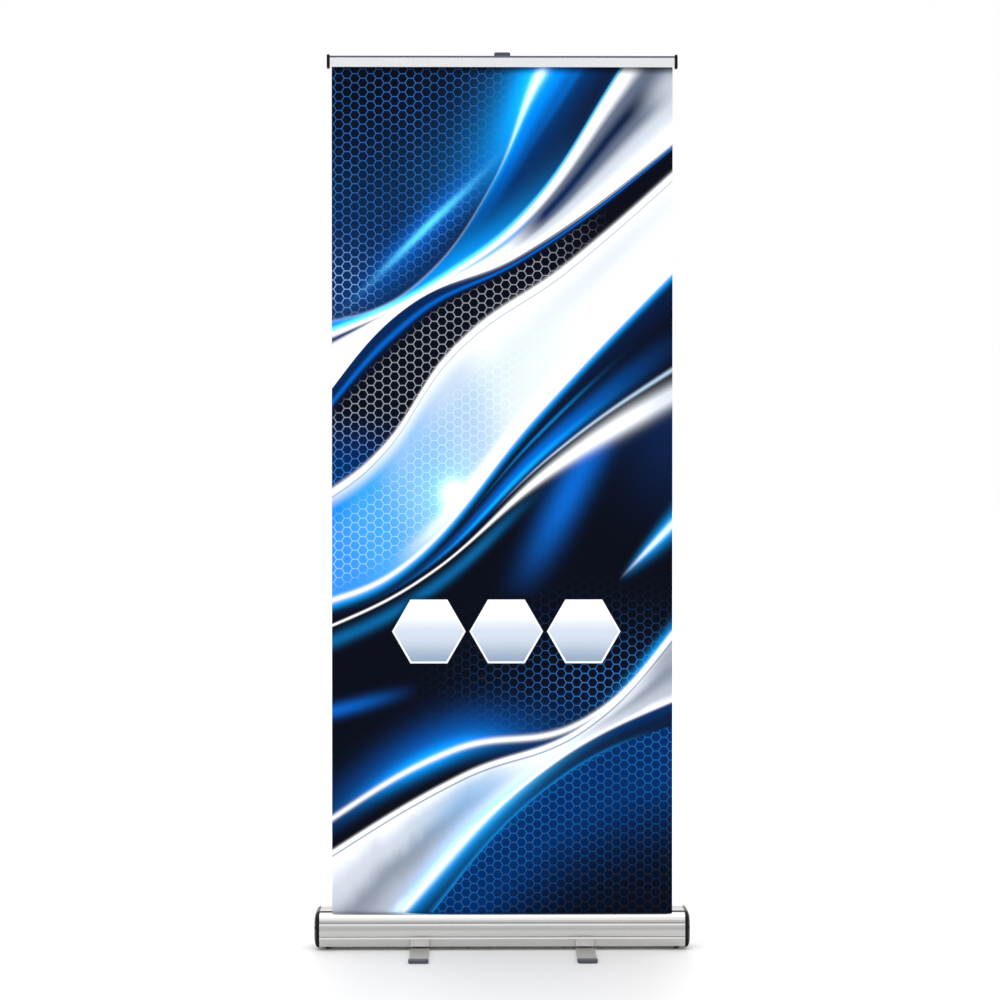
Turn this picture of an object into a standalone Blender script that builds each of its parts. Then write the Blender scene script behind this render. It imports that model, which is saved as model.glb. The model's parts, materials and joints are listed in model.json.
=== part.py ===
"""Roll-up banner stand: sprung roller in an aluminium cassette, banner, top rail, telescopic pole and two feet.

Frame: metres, +Z up, the banner faces -Y, X runs along the cassette. The origin lies on the floor at the
centre of the stand. Every piece is drawn in place. Each moving group hangs from an empty on its joint's axis.

Run it from Blender's text editor, or with: blender --background --python part.py
"""

import math

import bmesh
import bpy
from mathutils import Matrix, Vector

# ---------------------------------------------------------------- driving dimensions
CLEARANCE = 0.0003  # gap between two pieces that touch or slide
EDGE = 0.001  # broken edge on moulded and sawn corners
CORNER_EDGE = 0.0008  # broken edge on the rail's rear corner and the stage plugs
FINE_EDGE = 0.0006  # broken edge on thin lips and flanges
ROUND_RELIEF = 0.00005  # keeps a faceted round clear of the round it fits
TOOL_MARGIN = 0.01  # a cutting tool runs this far past the piece
BODY_MARK = 0.03  # size of the mark that shows a moving group's axis

BANNER_WIDTH = 0.800
BANNER_THICKNESS = 0.0005
SHEET_BELOW_TOP = 0.012  # the banner's edge inside the rail, below its top
RAIL_TOP_Z = 2.098  # the top of the rail above the floor, banner fully raised

# Cassette extrusion. Its profile is drawn in the Y-Z plane.
CASSETTE_OVERHANG = 0.029  # extrusion past the banner's edge, each side
CASSETTE_HEIGHT = 0.080
CASSETTE_FRONT_Y = -0.044
CASSETTE_DEPTH = 0.0875
SHELL_WALL = 0.0018
FRONT_WALL = 0.0024
REAR_TOP_RADIUS = 0.006
REAR_BOTTOM_RADIUS = 0.008
GROOVE_DEPTH = 0.0014
SHOULDER_DROP = 0.0225  # the rounded shoulder runs this far down from the top
SHOULDER_STEP = 0.0025  # the front lip stands this far below the rear strip
UPPER_GROOVE = 0.003
UPPER_CHAMFER = 0.0035
LOWER_FACE = 0.015
LOWER_FACE_LEAN = 0.0035
LOWER_CHAMFER = 0.006
LOWER_GROOVE = 0.0015
LOWER_EDGE = 0.0015
SLOT_AHEAD = 0.00465  # slot, from the banner's middle plane to the front lip
SLOT_BEHIND = 0.00535

# Screw ports inside the extrusion, and the screws that hold the end caps.
PORT_BORE_RADIUS = 0.0018
PORT_WALL = 0.0016
PORT_STANDOFF = 0.0026
PORT_SLIT = 0.0008
PORT_FROM_FRONT = 0.0071
PORT_FROM_REAR = 0.0092
PORT_BELOW_TOP = 0.036
SCREW_LENGTH = 0.014
SCREW_HEAD_RADIUS = 0.0029
SCREW_HEAD_HEIGHT = 0.0018

# Cassette end caps.
CAP_RIM = 0.0018  # the cap stands proud of the extrusion by this much
CAP_PLATE = 0.003
CAP_DOME = 0.0107
CAP_SHOULDER_RADIUS = 0.023
CAP_CORNER_RADIUS = 0.009
CAP_FRONT_CORNER_RADIUS = 0.006
CAP_BOSS_RADIUS = 0.012

# Roller, its banner roll and its spring.
ROLLER_HEIGHT = 0.035  # axis above the cassette's underside
ROLLER_OVERHANG = 0.006  # tube past the banner's edge, each side
TUBE_RADIUS = 0.016
TUBE_WALL = 0.0015
ROLL_LAYERS = 3  # turns of banner left on the tube when it is fully raised
ROLL_TO_SOCKET = 0.0057
PLUG_FLANGE = 0.003
PLUG_DEPTH = 0.022
AXLE_RADIUS = 0.004
AXLE_SEAT = 0.016  # axle inside its end cap
SPINDLE_REACH = 0.290  # spindle inside the tube
SPRING_RADIUS = 0.0085
SPRING_WIRE_RADIUS = 0.0008
SPRING_TURNS = 14
HUB_RADIUS = 0.0095
HUB_LENGTH = 0.009
ANCHOR_LENGTH = 0.018
ANCHOR_INSET = 0.002  # the spindle stands out of its anchor by this much
BUSH_WALL = 0.0015

# Feet.
FOOT_LENGTH = 0.380
FOOT_WIDTH = 0.0436
FOOT_THICKNESS = 0.005
FOOT_GROUND_GAP = 0.0015
FOOT_MEET_GAP = 0.008  # between the two feet when they are stowed
FOOT_CAP_LENGTH = 0.022
FOOT_CAP_WALL = 0.0012
FOOT_CAP_ROOF = 0.0014
FOOT_CAP_ROUND = 0.0009
FOOT_CAP_NOSE = 0.007
FOOT_CAP_RADIUS = 0.008
PIVOT_SHAFT_RADIUS = 0.003
PIVOT_HEAD_RADIUS = 0.0065
PIVOT_HEAD_HEIGHT = 0.0025
PIVOT_WASHER_RADIUS = 0.014
PIVOT_WASHER_THICKNESS = 0.0019
NUT_RADIUS = 0.0058
NUT_HEIGHT = 0.005

# Bumper pads under the cassette's ends.
PAD_FROM_END = 0.0195
PAD_FROM_EDGE = 0.020
PAD_TOP_RADIUS = 0.0115
PAD_TIP_RADIUS = 0.004
PAD_TIP_GAP = 0.0025  # the tip stays this far off the floor
PAD_PEG_RADIUS = 0.003
PAD_PEG_LENGTH = 0.005

# Pole: a socket in the cassette, and three tubes that slide in each other.
POLE_WALL = 0.0012
POLE_TOP_TUBE_RADIUS = 0.0095
SOCKET_BORE_RADIUS = 0.0078
SOCKET_WALL = 0.0017
SOCKET_WALL_GAP = 0.0007
SOCKET_DEPTH = 0.065
SOCKET_FLANGE_RADIUS = 0.0135
SOCKET_FLANGE = 0.0022
PEG_LENGTH = 0.058
POLE_PLUG_FLANGE = 0.003
POLE_PLUG_DEPTH = 0.020
STAGE_PLUG_CAP = 0.002  # plug below its tube's end
STAGE_OVERLAP = 0.060  # tube that stays inside the one below at full height
STAGE_BOTTOM_GAP = 0.020
STAGE_STOP_GAP = 0.003  # between two collars, or collar and hook, when lowered
COLLET_WALL = 0.0013
COLLET_DROP = 0.015
COLLET_RISE = 0.006
COLLET_LIP = 0.0050
COLLET_SLIT = 0.0015
COLLAR_WALL = 0.0028
COLLAR_DROP = 0.018
COLLAR_RISE = 0.012
COLLAR_TAPER = 0.003

# Top rail. Its profile is drawn from the banner's plane and the rail's top.
RAIL_OVERHANG = 0.004  # rail past the banner's edge, each side
RAIL_HEIGHT = 0.027
RAIL_PLATE = 0.003
RAIL_WEB = 0.0016
RAIL_CHANNEL = 0.0049  # downward-open channel that the pole's hook enters
RAIL_REAR_WEB = 0.0018
RAIL_REAR_DROP = 0.020
CLAW_RADIUS = 0.0036
CLAW_BORE_RADIUS = 0.0019
CLAW_AHEAD = 0.00415  # claw centre ahead of the banner's plane
BEAD_RADIUS = 0.0016
JAW_NECK = 0.0016
JAW_WALL = 0.0018
JAW_LIP = 0.0035
RAIL_CAP_THICKNESS = 0.007
RAIL_CAP_RISE = 0.003
RAIL_CAP_AHEAD = 0.0022
RAIL_CAP_BEHIND = 0.0025
RAIL_CAP_RADIUS = 0.005
RAIL_CAP_ROUND = 0.0015
RAIL_CAP_SPIGOT = 0.012

# Hook on top of the pole.
HOOK_WIDTH = 0.038
HOOK_ARM_WIDTH = 0.018
HOOK_ARM_LIFT = 0.018  # arm's underside above the sleeve's mouth
HOOK_RISE = 0.010  # hook above the rail's top
HOOK_PLATE = 0.004
HOOK_FLOOR = 0.0032
HOOK_SLEEVE_WALL = 0.0027
HOOK_SLEEVE_BELOW_TOP = 0.058
HOOK_SLEEVE_HEIGHT = 0.0345
HOOK_TUBE_DEPTH = 0.022
HOOK_PIN_RADIUS = 0.0015
HOOK_CORNER = 0.004
HOOK_INSET = 0.0005

# ---------------------------------------------------------------- derived places
BAR_TOP = FOOT_GROUND_GAP + FOOT_THICKNESS
CASSETTE_BOTTOM = BAR_TOP + PIVOT_WASHER_THICKNESS + 2 * CLEARANCE
CASSETTE_TOP = CASSETTE_BOTTOM + CASSETTE_HEIGHT
CASSETTE_REAR_Y = CASSETTE_FRONT_Y + CASSETTE_DEPTH
CASSETTE_HALF = BANNER_WIDTH / 2 + CASSETTE_OVERHANG
FLOOR_Z = CASSETTE_BOTTOM + SHELL_WALL  # inner floor of the extrusion
INNER_FRONT_Y = CASSETTE_FRONT_Y + FRONT_WALL
INNER_REAR_Y = CASSETTE_REAR_Y - SHELL_WALL

SOCKET_RADIUS = SOCKET_BORE_RADIUS + SOCKET_WALL
POLE_Y = INNER_REAR_Y - SOCKET_WALL_GAP - SOCKET_RADIUS
ROLL_RADIUS = TUBE_RADIUS + CLEARANCE + ROLL_LAYERS * BANNER_THICKNESS
ROLLER_Y = POLE_Y - SOCKET_RADIUS - ROLL_TO_SOCKET - ROLL_RADIUS
ROLLER_Z = CASSETTE_BOTTOM + ROLLER_HEIGHT
SHEET_Y = ROLLER_Y - ROLL_RADIUS - CLEARANCE - BANNER_THICKNESS / 2
SHEET_FRONT_Y = SHEET_Y - BANNER_THICKNESS / 2
SHEET_REAR_Y = SHEET_Y + BANNER_THICKNESS / 2
LIP_Y = SHEET_Y - SLOT_AHEAD
STRIP_Y = SHEET_Y + SLOT_BEHIND

ROLLER_HALF = BANNER_WIDTH / 2 + ROLLER_OVERHANG
TUBE_BORE = TUBE_RADIUS - TUBE_WALL
BOSS_END = ROLLER_HALF + PLUG_FLANGE + 3 * CLEARANCE
CAP_FACE = CASSETTE_HALF + CLEARANCE

FOOT_HALF = FOOT_LENGTH / 2
FOOT_PIVOT_X = FOOT_HALF + FOOT_MEET_GAP / 2

TUBE_RADII = [POLE_TOP_TUBE_RADIUS + step * (POLE_WALL + CLEARANCE) for step in (2, 1, 0)]
POLE_BOTTOM = CASSETTE_TOP + SOCKET_FLANGE + POLE_PLUG_FLANGE + 3 * CLEARANCE
HOOK_BOTTOM = RAIL_TOP_Z - HOOK_SLEEVE_BELOW_TOP
STAGE_EXTRA = STAGE_OVERLAP + POLE_PLUG_DEPTH + STAGE_BOTTOM_GAP
STAGE_FIXED = STAGE_EXTRA + COLLAR_RISE + 2 * STAGE_STOP_GAP + COLLAR_DROP + COLLAR_RISE
STAGE_TRAVEL = (HOOK_BOTTOM - POLE_BOTTOM - STAGE_FIXED) / 3
LOWER_TOP = POLE_BOTTOM + STAGE_TRAVEL + STAGE_EXTRA
MID_TOP = LOWER_TOP + COLLAR_RISE + STAGE_TRAVEL + STAGE_STOP_GAP + COLLAR_DROP
UPPER_TOP = HOOK_BOTTOM + HOOK_TUBE_DEPTH

RAIL_HALF = BANNER_WIDTH / 2 + RAIL_OVERHANG
WEB_FRONT_Y = SHEET_REAR_Y + CLEARANCE
CHANNEL_FRONT_Y = WEB_FRONT_Y + RAIL_WEB
CHANNEL_REAR_Y = CHANNEL_FRONT_Y + RAIL_CHANNEL
RAIL_REAR_Y = CHANNEL_REAR_Y + RAIL_REAR_WEB
CLAW_Y = SHEET_Y - CLAW_AHEAD
CLAW_Z = RAIL_TOP_Z - CLAW_RADIUS
JAW_ARC_RADIUS = CLAW_RADIUS + CLEARANCE + ROUND_RELIEF


# ---------------------------------------------------------------- modelling helpers
def clear_scene():
    """Removes every object that a new Blender file holds."""
    for obj in list(bpy.data.objects):
        bpy.data.objects.remove(obj, do_unlink=True)


def make_material(name, colour, roughness, metallic=0.0):
    """Returns a Principled material of one colour."""
    material = bpy.data.materials.new(name)
    material.use_nodes = True
    shader = material.node_tree.nodes["Principled BSDF"]
    shader.inputs["Base Color"].default_value = (*colour, 1.0)
    shader.inputs["Roughness"].default_value = roughness
    shader.inputs["Metallic"].default_value = metallic
    material.diffuse_color = (*colour, 1.0)
    return material


def make_body(name, place):
    """Returns an empty that carries one moving group and stands on its joint's axis."""
    body = bpy.data.objects.new(name, None)
    body.location = place
    body.empty_display_size = BODY_MARK
    bpy.context.scene.collection.objects.link(body)
    return body


def object_from(name, bm):
    """Turns a bmesh into an object in world coordinates, with its faces pointing out."""
    bmesh.ops.recalc_face_normals(bm, faces=bm.faces)
    mesh = bpy.data.meshes.new(name)
    bm.to_mesh(mesh)
    bm.free()
    obj = bpy.data.objects.new(name, mesh)
    bpy.context.scene.collection.objects.link(obj)
    return obj


def finish(obj, material, body):
    """Gives a piece its material, smooth shading on its round faces, and the group that it moves with."""
    obj.data.materials.clear()
    obj.data.materials.append(material)
    if obj.type == "MESH":
        obj.data.shade_smooth()
        obj.data.set_sharp_from_angle(angle=math.radians(32))
    obj.parent = body
    obj.matrix_parent_inverse = Matrix.Translation(-body.location)
    return obj


def apply_modifiers(obj):
    """Applies the object's modifiers in order."""
    with bpy.context.temp_override(object=obj, active_object=obj, selected_objects=[obj]):
        for modifier in list(obj.modifiers):
            bpy.ops.object.modifier_apply(modifier=modifier.name)


def combine(target, tool, operation, solver="EXACT"):
    """Cuts the tool from the target, or joins it to the target, and removes the tool.

    MANIFOLD is for the few pieces whose small curved cuts the EXACT solver leaves open.
    """
    modifier = target.modifiers.new(operation.title(), "BOOLEAN")
    modifier.operation = operation
    modifier.solver = solver
    modifier.object = tool
    apply_modifiers(target)
    bpy.data.objects.remove(tool, do_unlink=True)


def soften(obj, width, segments=2, angle=40):
    """Rounds the object's sharp edges."""
    bevel = obj.modifiers.new("Bevel", "BEVEL")
    bevel.width = width
    bevel.segments = segments
    bevel.limit_method = "ANGLE"
    bevel.angle_limit = math.radians(angle)
    apply_modifiers(obj)


def arc(centre, radius, start, end, steps):
    """Returns points along an arc in degrees, both ends included."""
    angles = [math.radians(start + (end - start) * step / steps) for step in range(steps + 1)]
    return [(centre[0] + radius * math.cos(a), centre[1] + radius * math.sin(a)) for a in angles]


def rounded(corners, steps=4):
    """Returns a closed outline whose corners, given as (u, v, radius), are rounded."""
    points = []
    for index, (u, v, radius) in enumerate(corners):
        corner = Vector((u, v))
        if not radius:
            points.append((u, v))
            continue
        before = (Vector(corners[index - 1][:2]) - corner).normalized()
        after = (Vector(corners[(index + 1) % len(corners)][:2]) - corner).normalized()
        half = before.angle(after) / 2
        centre = corner + (before + after).normalized() * radius / math.sin(half)
        first = corner + before * radius / math.tan(half) - centre
        last = corner + after * radius / math.tan(half) - centre
        turn = first.angle_signed(last)
        for step in range(steps + 1):
            spoke = first.copy()
            spoke.rotate(Matrix.Rotation(-turn * step / steps, 2))
            points.append(tuple(centre + spoke))
    return points


def prism(name, outline, start, end, axis="X"):
    """Extrudes an outline along X (drawn in Y-Z), Y (drawn in X-Z) or Z (drawn in X-Y)."""
    lay = {
        "X": lambda u, v: (start, u, v),
        "Y": lambda u, v: (u, start, v),
        "Z": lambda u, v: (u, v, start),
    }[axis]
    direction = {"X": Vector((1, 0, 0)), "Y": Vector((0, 1, 0)), "Z": Vector((0, 0, 1))}[axis]
    bm = bmesh.new()
    face = bm.faces.new([bm.verts.new(lay(u, v)) for u, v in outline])
    grown = bmesh.ops.extrude_face_region(bm, geom=[face])
    moved = [item for item in grown["geom"] if isinstance(item, bmesh.types.BMVert)]
    bmesh.ops.translate(bm, verts=moved, vec=direction * (end - start))
    return object_from(name, bm)


def turned(name, profile, axis, place, steps=24):
    """Spins a closed (radius, distance along the axis) profile round an axis through place."""
    bm = bmesh.new()
    verts = [bm.verts.new((radius, 0, along)) for radius, along in profile]
    edges = [bm.edges.new((verts[i - 1], verts[i])) for i in range(len(verts))]
    on_axis = [edge for edge in edges if all(vert.co.x < 1e-7 for vert in edge.verts)]
    bmesh.ops.delete(bm, geom=on_axis, context="EDGES_FACES")
    bmesh.ops.spin(
        bm,
        geom=bm.verts[:] + bm.edges[:],
        cent=(0, 0, 0),
        axis=(0, 0, 1),
        angle=math.tau,
        steps=steps,
        use_merge=True,
    )
    bmesh.ops.remove_doubles(bm, verts=bm.verts, dist=1e-6)
    bmesh.ops.dissolve_degenerate(bm, edges=bm.edges, dist=1e-7)
    if axis == "X":
        bmesh.ops.rotate(bm, verts=bm.verts, matrix=Matrix.Rotation(math.pi / 2, 3, "Y"))
    bmesh.ops.translate(bm, verts=bm.verts, vec=Vector(place))
    return object_from(name, bm)


def rod(name, radius, start, end, axis, place, steps=24):
    """Returns a plain round rod between two distances along an axis through place."""
    profile = [(0, start), (radius, start), (radius, end), (0, end)]
    return turned(name, profile, axis, place, steps)


def ring(name, bore, radius, start, end, axis, place, steps=24):
    """Returns a plain tube between two distances along an axis through place."""
    profile = [(bore, start), (radius, start), (radius, end), (bore, end)]
    return turned(name, profile, axis, place, steps)


def block(name, low, high):
    """Returns a box between two corners."""
    bm = bmesh.new()
    bmesh.ops.create_cube(bm, size=1)
    size = Vector(high) - Vector(low)
    bmesh.ops.scale(bm, verts=bm.verts, vec=size)
    bmesh.ops.translate(bm, verts=bm.verts, vec=Vector(low) + size / 2)
    return object_from(name, bm)


# ---------------------------------------------------------------- cassette
def screw_ports():
    """Returns (wall point, inward direction, direction of travel) of each screw port."""
    return [
        (Vector((INNER_FRONT_Y, CASSETTE_TOP - PORT_BELOW_TOP)), Vector((1, 0)), Vector((0, -1))),
        (Vector((INNER_FRONT_Y + PORT_FROM_FRONT, FLOOR_Z)), Vector((0, 1)), Vector((1, 0))),
        (Vector((INNER_REAR_Y - PORT_FROM_REAR, FLOOR_Z)), Vector((0, 1)), Vector((1, 0))),
    ]


def port_centres():
    """Returns the Y-Z centre of each screw port."""
    return [wall + inward * PORT_STANDOFF for wall, inward, _ in screw_ports()]


def port_outline(wall, inward, travel):
    """Returns the wall's detour round one slit screw port, as Y-Z points."""
    centre = wall + inward * PORT_STANDOFF
    radius = PORT_BORE_RADIUS + PORT_WALL
    foot = math.degrees(math.asin(PORT_STANDOFF / radius))
    outer_slit = math.degrees(math.asin(PORT_SLIT / radius))
    bore_slit = math.degrees(math.asin(PORT_SLIT / PORT_BORE_RADIUS))
    local = (
        arc((0, 0), radius, 180 + foot, 90 + outer_slit, 4)
        + arc((0, 0), PORT_BORE_RADIUS, 90 + bore_slit, 450 - bore_slit, 12)
        + arc((0, 0), radius, 90 - outer_slit, -foot, 4)
    )
    return [tuple(centre + travel * along + inward * out) for along, out in local]


def shoulder(inset, steps=8):
    """Returns the front shoulder's quarter ellipse from the groove up to the lip, moved in by inset."""
    centre_z = CASSETTE_TOP - SHOULDER_DROP
    reach = LIP_Y - (CASSETTE_FRONT_Y + GROOVE_DEPTH) - inset
    rise = SHOULDER_DROP - SHOULDER_STEP - inset
    angles = [math.pi / 2 * step / steps for step in range(steps + 1)]
    return [(LIP_Y - reach * math.cos(a), centre_z + rise * math.sin(a)) for a in angles]


def shell_outline():
    """Returns the extrusion's C-shaped profile, open at the banner's slot."""
    front, groove = CASSETTE_FRONT_Y, CASSETTE_FRONT_Y + GROOVE_DEPTH
    rear, top, bottom = CASSETTE_REAR_Y, CASSETTE_TOP, CASSETTE_BOTTOM
    face_top = bottom + LOWER_FACE
    groove_low = face_top + LOWER_CHAMFER
    groove_high = groove_low + LOWER_GROOVE
    panel_top = top - SHOULDER_DROP - UPPER_GROOVE - UPPER_CHAMFER
    outer = [(STRIP_Y, top)]
    outer += arc((rear - REAR_TOP_RADIUS, top - REAR_TOP_RADIUS), REAR_TOP_RADIUS, 90, 0, 5)
    low = (rear - REAR_BOTTOM_RADIUS, bottom + REAR_BOTTOM_RADIUS)
    outer += arc(low, REAR_BOTTOM_RADIUS, 0, -90, 5)
    outer += [(front + LOWER_FACE_LEAN + EDGE, bottom), (front + LOWER_FACE_LEAN, bottom + EDGE)]
    outer += [(front, face_top), (groove, groove_low), (groove, groove_high)]
    outer += [(front, groove_high + LOWER_EDGE), (front, panel_top)]
    outer += [(groove, panel_top + UPPER_CHAMFER)]
    outer += shoulder(0)
    inner = shoulder(FRONT_WALL - GROOVE_DEPTH)[::-1]
    inner += [(INNER_FRONT_Y, top - SHOULDER_DROP)]
    front_port, low_front_port, low_rear_port = [port_outline(*port) for port in screw_ports()]
    inner += front_port
    inner += [(INNER_FRONT_Y, face_top), (INNER_FRONT_Y + LOWER_FACE_LEAN, FLOOR_Z)]
    inner += low_front_port + low_rear_port
    low_radius = REAR_BOTTOM_RADIUS - SHELL_WALL
    inner += arc(low, low_radius, -90, 0, 5)
    high = (rear - REAR_TOP_RADIUS, top - REAR_TOP_RADIUS)
    inner += arc(high, REAR_TOP_RADIUS - SHELL_WALL, 0, 90, 5)
    inner += [(STRIP_Y, top - SHELL_WALL)]
    return outer + inner


def pad_places():
    """Returns the X-Y centre of each bumper pad under the cassette."""
    x = CASSETTE_HALF - PAD_FROM_END
    front = CASSETTE_FRONT_Y + PAD_FROM_EDGE
    rear = CASSETTE_REAR_Y - PAD_FROM_EDGE
    return {
        "left_front": (-x, front),
        "right_front": (x, front),
        "left_rear": (-x, rear),
        "right_rear": (x, rear),
    }


def build_shell(materials, body):
    """The aluminium extrusion, with its holes for the pole, the foot pivots and the pads."""
    shell = prism("cassette_shell", shell_outline(), -CASSETTE_HALF, CASSETTE_HALF)
    above, below = CASSETTE_TOP + TOOL_MARGIN, CASSETTE_BOTTOM - TOOL_MARGIN
    middle = (CASSETTE_TOP + CASSETTE_BOTTOM) / 2
    hole = SOCKET_RADIUS + CLEARANCE
    combine(shell, rod("hole", hole, middle, above, "Z", (0, POLE_Y, 0)), "DIFFERENCE")
    holes = [(side * FOOT_PIVOT_X, 0, PIVOT_SHAFT_RADIUS) for side in (-1, 1)]
    holes += [(x, y, PAD_PEG_RADIUS) for x, y in pad_places().values()]
    for x, y, radius in holes:
        tool = rod("hole", radius + CLEARANCE, below, FLOOR_Z + 2 * EDGE, "Z", (x, y, 0))
        combine(shell, tool, "DIFFERENCE")
    finish(shell, materials["anodised"], body)


def cap_outline(scale=1.0):
    """Returns the end cap's outline, scaled about the middle of the cassette's section."""
    front, rear = CASSETTE_FRONT_Y - CAP_RIM, CASSETTE_REAR_Y + CAP_RIM
    low, high = CASSETTE_BOTTOM - CAP_RIM, CASSETTE_TOP + CAP_RIM
    corners = [
        (front, low, CAP_FRONT_CORNER_RADIUS),
        (rear, low, CAP_CORNER_RADIUS),
        (rear, high, CAP_CORNER_RADIUS),
        (front, high, CAP_SHOULDER_RADIUS),
    ]
    centre = Vector(((front + rear) / 2, (low + high) / 2))
    return [tuple(centre + (Vector(point) - centre) * scale) for point in rounded(corners, 5)]


def dome(side):
    """Returns one end cap's plate and dome as a closed solid."""
    bm = bmesh.new()
    rings = [(1.0, 0.0), (1.0, CAP_PLATE)]
    for scale in (0.99, 0.96, 0.90, 0.80, 0.64, 0.42, 0.18):
        rings.append((scale, CAP_PLATE + CAP_DOME * (1 - scale**2.4) ** (1 / 2.4)))
    loops = []
    for scale, out in rings:
        x = side * (CAP_FACE + out)
        loops.append([bm.verts.new((x, y, z)) for y, z in cap_outline(scale)])
    bm.faces.new(loops[0])
    for first, second in zip(loops, loops[1:]):
        for index in range(len(first)):
            quad = (first[index - 1], first[index], second[index], second[index - 1])
            bm.faces.new(quad)
    bm.faces.new(loops[-1])
    return object_from("cap", bm)


def build_end_cap(name, side, materials, body):
    """One glossy end cap: plate, dome, axle boss, and counterbored screw holes."""
    cap = dome(side)
    cap.name = name
    axle = (0, ROLLER_Y, ROLLER_Z)
    inner, outer = sorted((side * BOSS_END, side * (CAP_FACE + CAP_PLATE / 2)))
    combine(cap, rod("boss", CAP_BOSS_RADIUS, inner, outer, "X", axle), "UNION", "MANIFOLD")
    inner, outer = sorted((side * (BOSS_END - TOOL_MARGIN), side * (BOSS_END + AXLE_SEAT)))
    combine(cap, rod("bore", AXLE_RADIUS + CLEARANCE, inner, outer, "X", axle), "DIFFERENCE", "MANIFOLD")
    for y, z in port_centres():
        deep, far = side * (CAP_FACE - TOOL_MARGIN), side * (CAP_FACE + CAP_PLATE + CAP_DOME + TOOL_MARGIN)
        low, high = sorted((deep, far))
        shaft = rod("shaft", PORT_BORE_RADIUS, low, high, "X", (0, y, z), 16)
        combine(cap, shaft, "DIFFERENCE", "MANIFOLD")
        low, high = sorted((side * (CAP_FACE + CAP_PLATE), far))
        head = rod("head", SCREW_HEAD_RADIUS + 2 * CLEARANCE, low, high, "X", (0, y, z), 20)
        combine(cap, head, "DIFFERENCE", "MANIFOLD")
    finish(cap, materials["gloss_black"], body)


def build_cap_screws(name, side, materials, body):
    """The three screws of one end cap, from its counterbores into the extrusion's ports."""
    seat = CAP_FACE + CAP_PLATE + CLEARANCE
    shaft = PORT_BORE_RADIUS - CLEARANCE - ROUND_RELIEF
    profile = [
        (0, seat - SCREW_LENGTH),
        (shaft * 0.5, seat - SCREW_LENGTH),
        (shaft, seat - SCREW_LENGTH + 2 * EDGE),
        (shaft, seat),
        (SCREW_HEAD_RADIUS, seat),
        (SCREW_HEAD_RADIUS, seat + SCREW_HEAD_HEIGHT * 0.55),
        (SCREW_HEAD_RADIUS * 0.7, seat + SCREW_HEAD_HEIGHT),
        (0, seat + SCREW_HEAD_HEIGHT),
    ]
    for (y, z), where in zip(port_centres(), ("upper", "front", "rear")):
        placed = [(radius, side * along) for radius, along in profile]
        screw = turned(f"{name}_screw_{where}", placed, "X", (0, y, z), 16)
        finish(screw, materials["steel"], body)


def build_pads(materials, body):
    """Four tapered bumper pads, each with a peg in the extrusion's floor."""
    seat = CASSETTE_BOTTOM - CLEARANCE
    profile = [
        (0, PAD_TIP_GAP),
        (PAD_TIP_RADIUS, PAD_TIP_GAP),
        (PAD_TOP_RADIUS, seat - EDGE),
        (PAD_TOP_RADIUS, seat),
        (PAD_PEG_RADIUS, seat),
        (PAD_PEG_RADIUS, seat + PAD_PEG_LENGTH),
        (0, seat + PAD_PEG_LENGTH),
    ]
    for where, (x, y) in pad_places().items():
        pad = turned(f"bumper_pad_{where}", profile, "Z", (x, y, 0))
        finish(pad, materials["rubber"], body)


# ---------------------------------------------------------------- roller
def build_roller(materials, base, roller):
    """The tube that winds the banner, its end plugs, and the axle pieces that carry it."""
    axis = (0, ROLLER_Y, ROLLER_Z)
    tube = ring("roller_tube", TUBE_BORE, TUBE_RADIUS, -ROLLER_HALF, ROLLER_HALF, "X", axis)
    finish(tube, materials["anodised"], roller)
    roll_bore = TUBE_RADIUS + CLEARANCE
    half = BANNER_WIDTH / 2
    roll = ring("banner_roll", roll_bore, ROLL_RADIUS, -half, half, "X", axis, 32)
    finish(roll, materials["film"], roller)

    plug_radius = TUBE_BORE - CLEARANCE
    flange_start = ROLLER_HALF + CLEARANCE
    flange_end = flange_start + PLUG_FLANGE
    deep = ROLLER_HALF - PLUG_DEPTH
    for name, side, bore in (
        ("spring_side_plug", -1, AXLE_RADIUS + CLEARANCE),
        ("idler_plug", 1, AXLE_RADIUS + 2 * CLEARANCE + BUSH_WALL),
    ):
        profile = [
            (bore, side * deep),
            (plug_radius, side * deep),
            (plug_radius, side * flange_start),
            (TUBE_RADIUS, side * flange_start),
            (TUBE_RADIUS, side * flange_end),
            (bore, side * flange_end),
        ]
        finish(turned(name, profile, "X", axis), materials["nylon"], roller)
    bush_bore = AXLE_RADIUS + CLEARANCE
    bush_radius = bush_bore + BUSH_WALL
    bush = ring("idler_bush", bush_bore, bush_radius, deep, flange_end, "X", axis)
    finish(bush, materials["brass"], roller)

    seat = BOSS_END + AXLE_SEAT - CLEARANCE
    idler = rod("idler_axle", AXLE_RADIUS, deep, seat, "X", axis)
    finish(idler, materials["steel"], base)

    hub_start = -(deep - 2 * CLEARANCE - HUB_LENGTH)
    spindle_end = -ROLLER_HALF + SPINDLE_REACH
    profile = [
        (0, -seat),
        (AXLE_RADIUS, -seat),
        (AXLE_RADIUS, hub_start - HUB_LENGTH),
        (HUB_RADIUS, hub_start - HUB_LENGTH),
        (HUB_RADIUS, hub_start),
        (AXLE_RADIUS, hub_start),
        (AXLE_RADIUS, spindle_end),
        (0, spindle_end),
    ]
    finish(turned("spring_spindle", profile, "X", axis), materials["steel"], base)

    anchor_end = spindle_end - ANCHOR_INSET
    anchor_start = anchor_end - ANCHOR_LENGTH
    bore = AXLE_RADIUS + CLEARANCE
    anchor = ring("spring_anchor", bore, plug_radius, anchor_start, anchor_end, "X", axis)
    finish(anchor, materials["nylon"], roller)
    margin = CLEARANCE + SPRING_WIRE_RADIUS
    build_spring(hub_start + margin, anchor_start - margin, materials, base)


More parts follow.
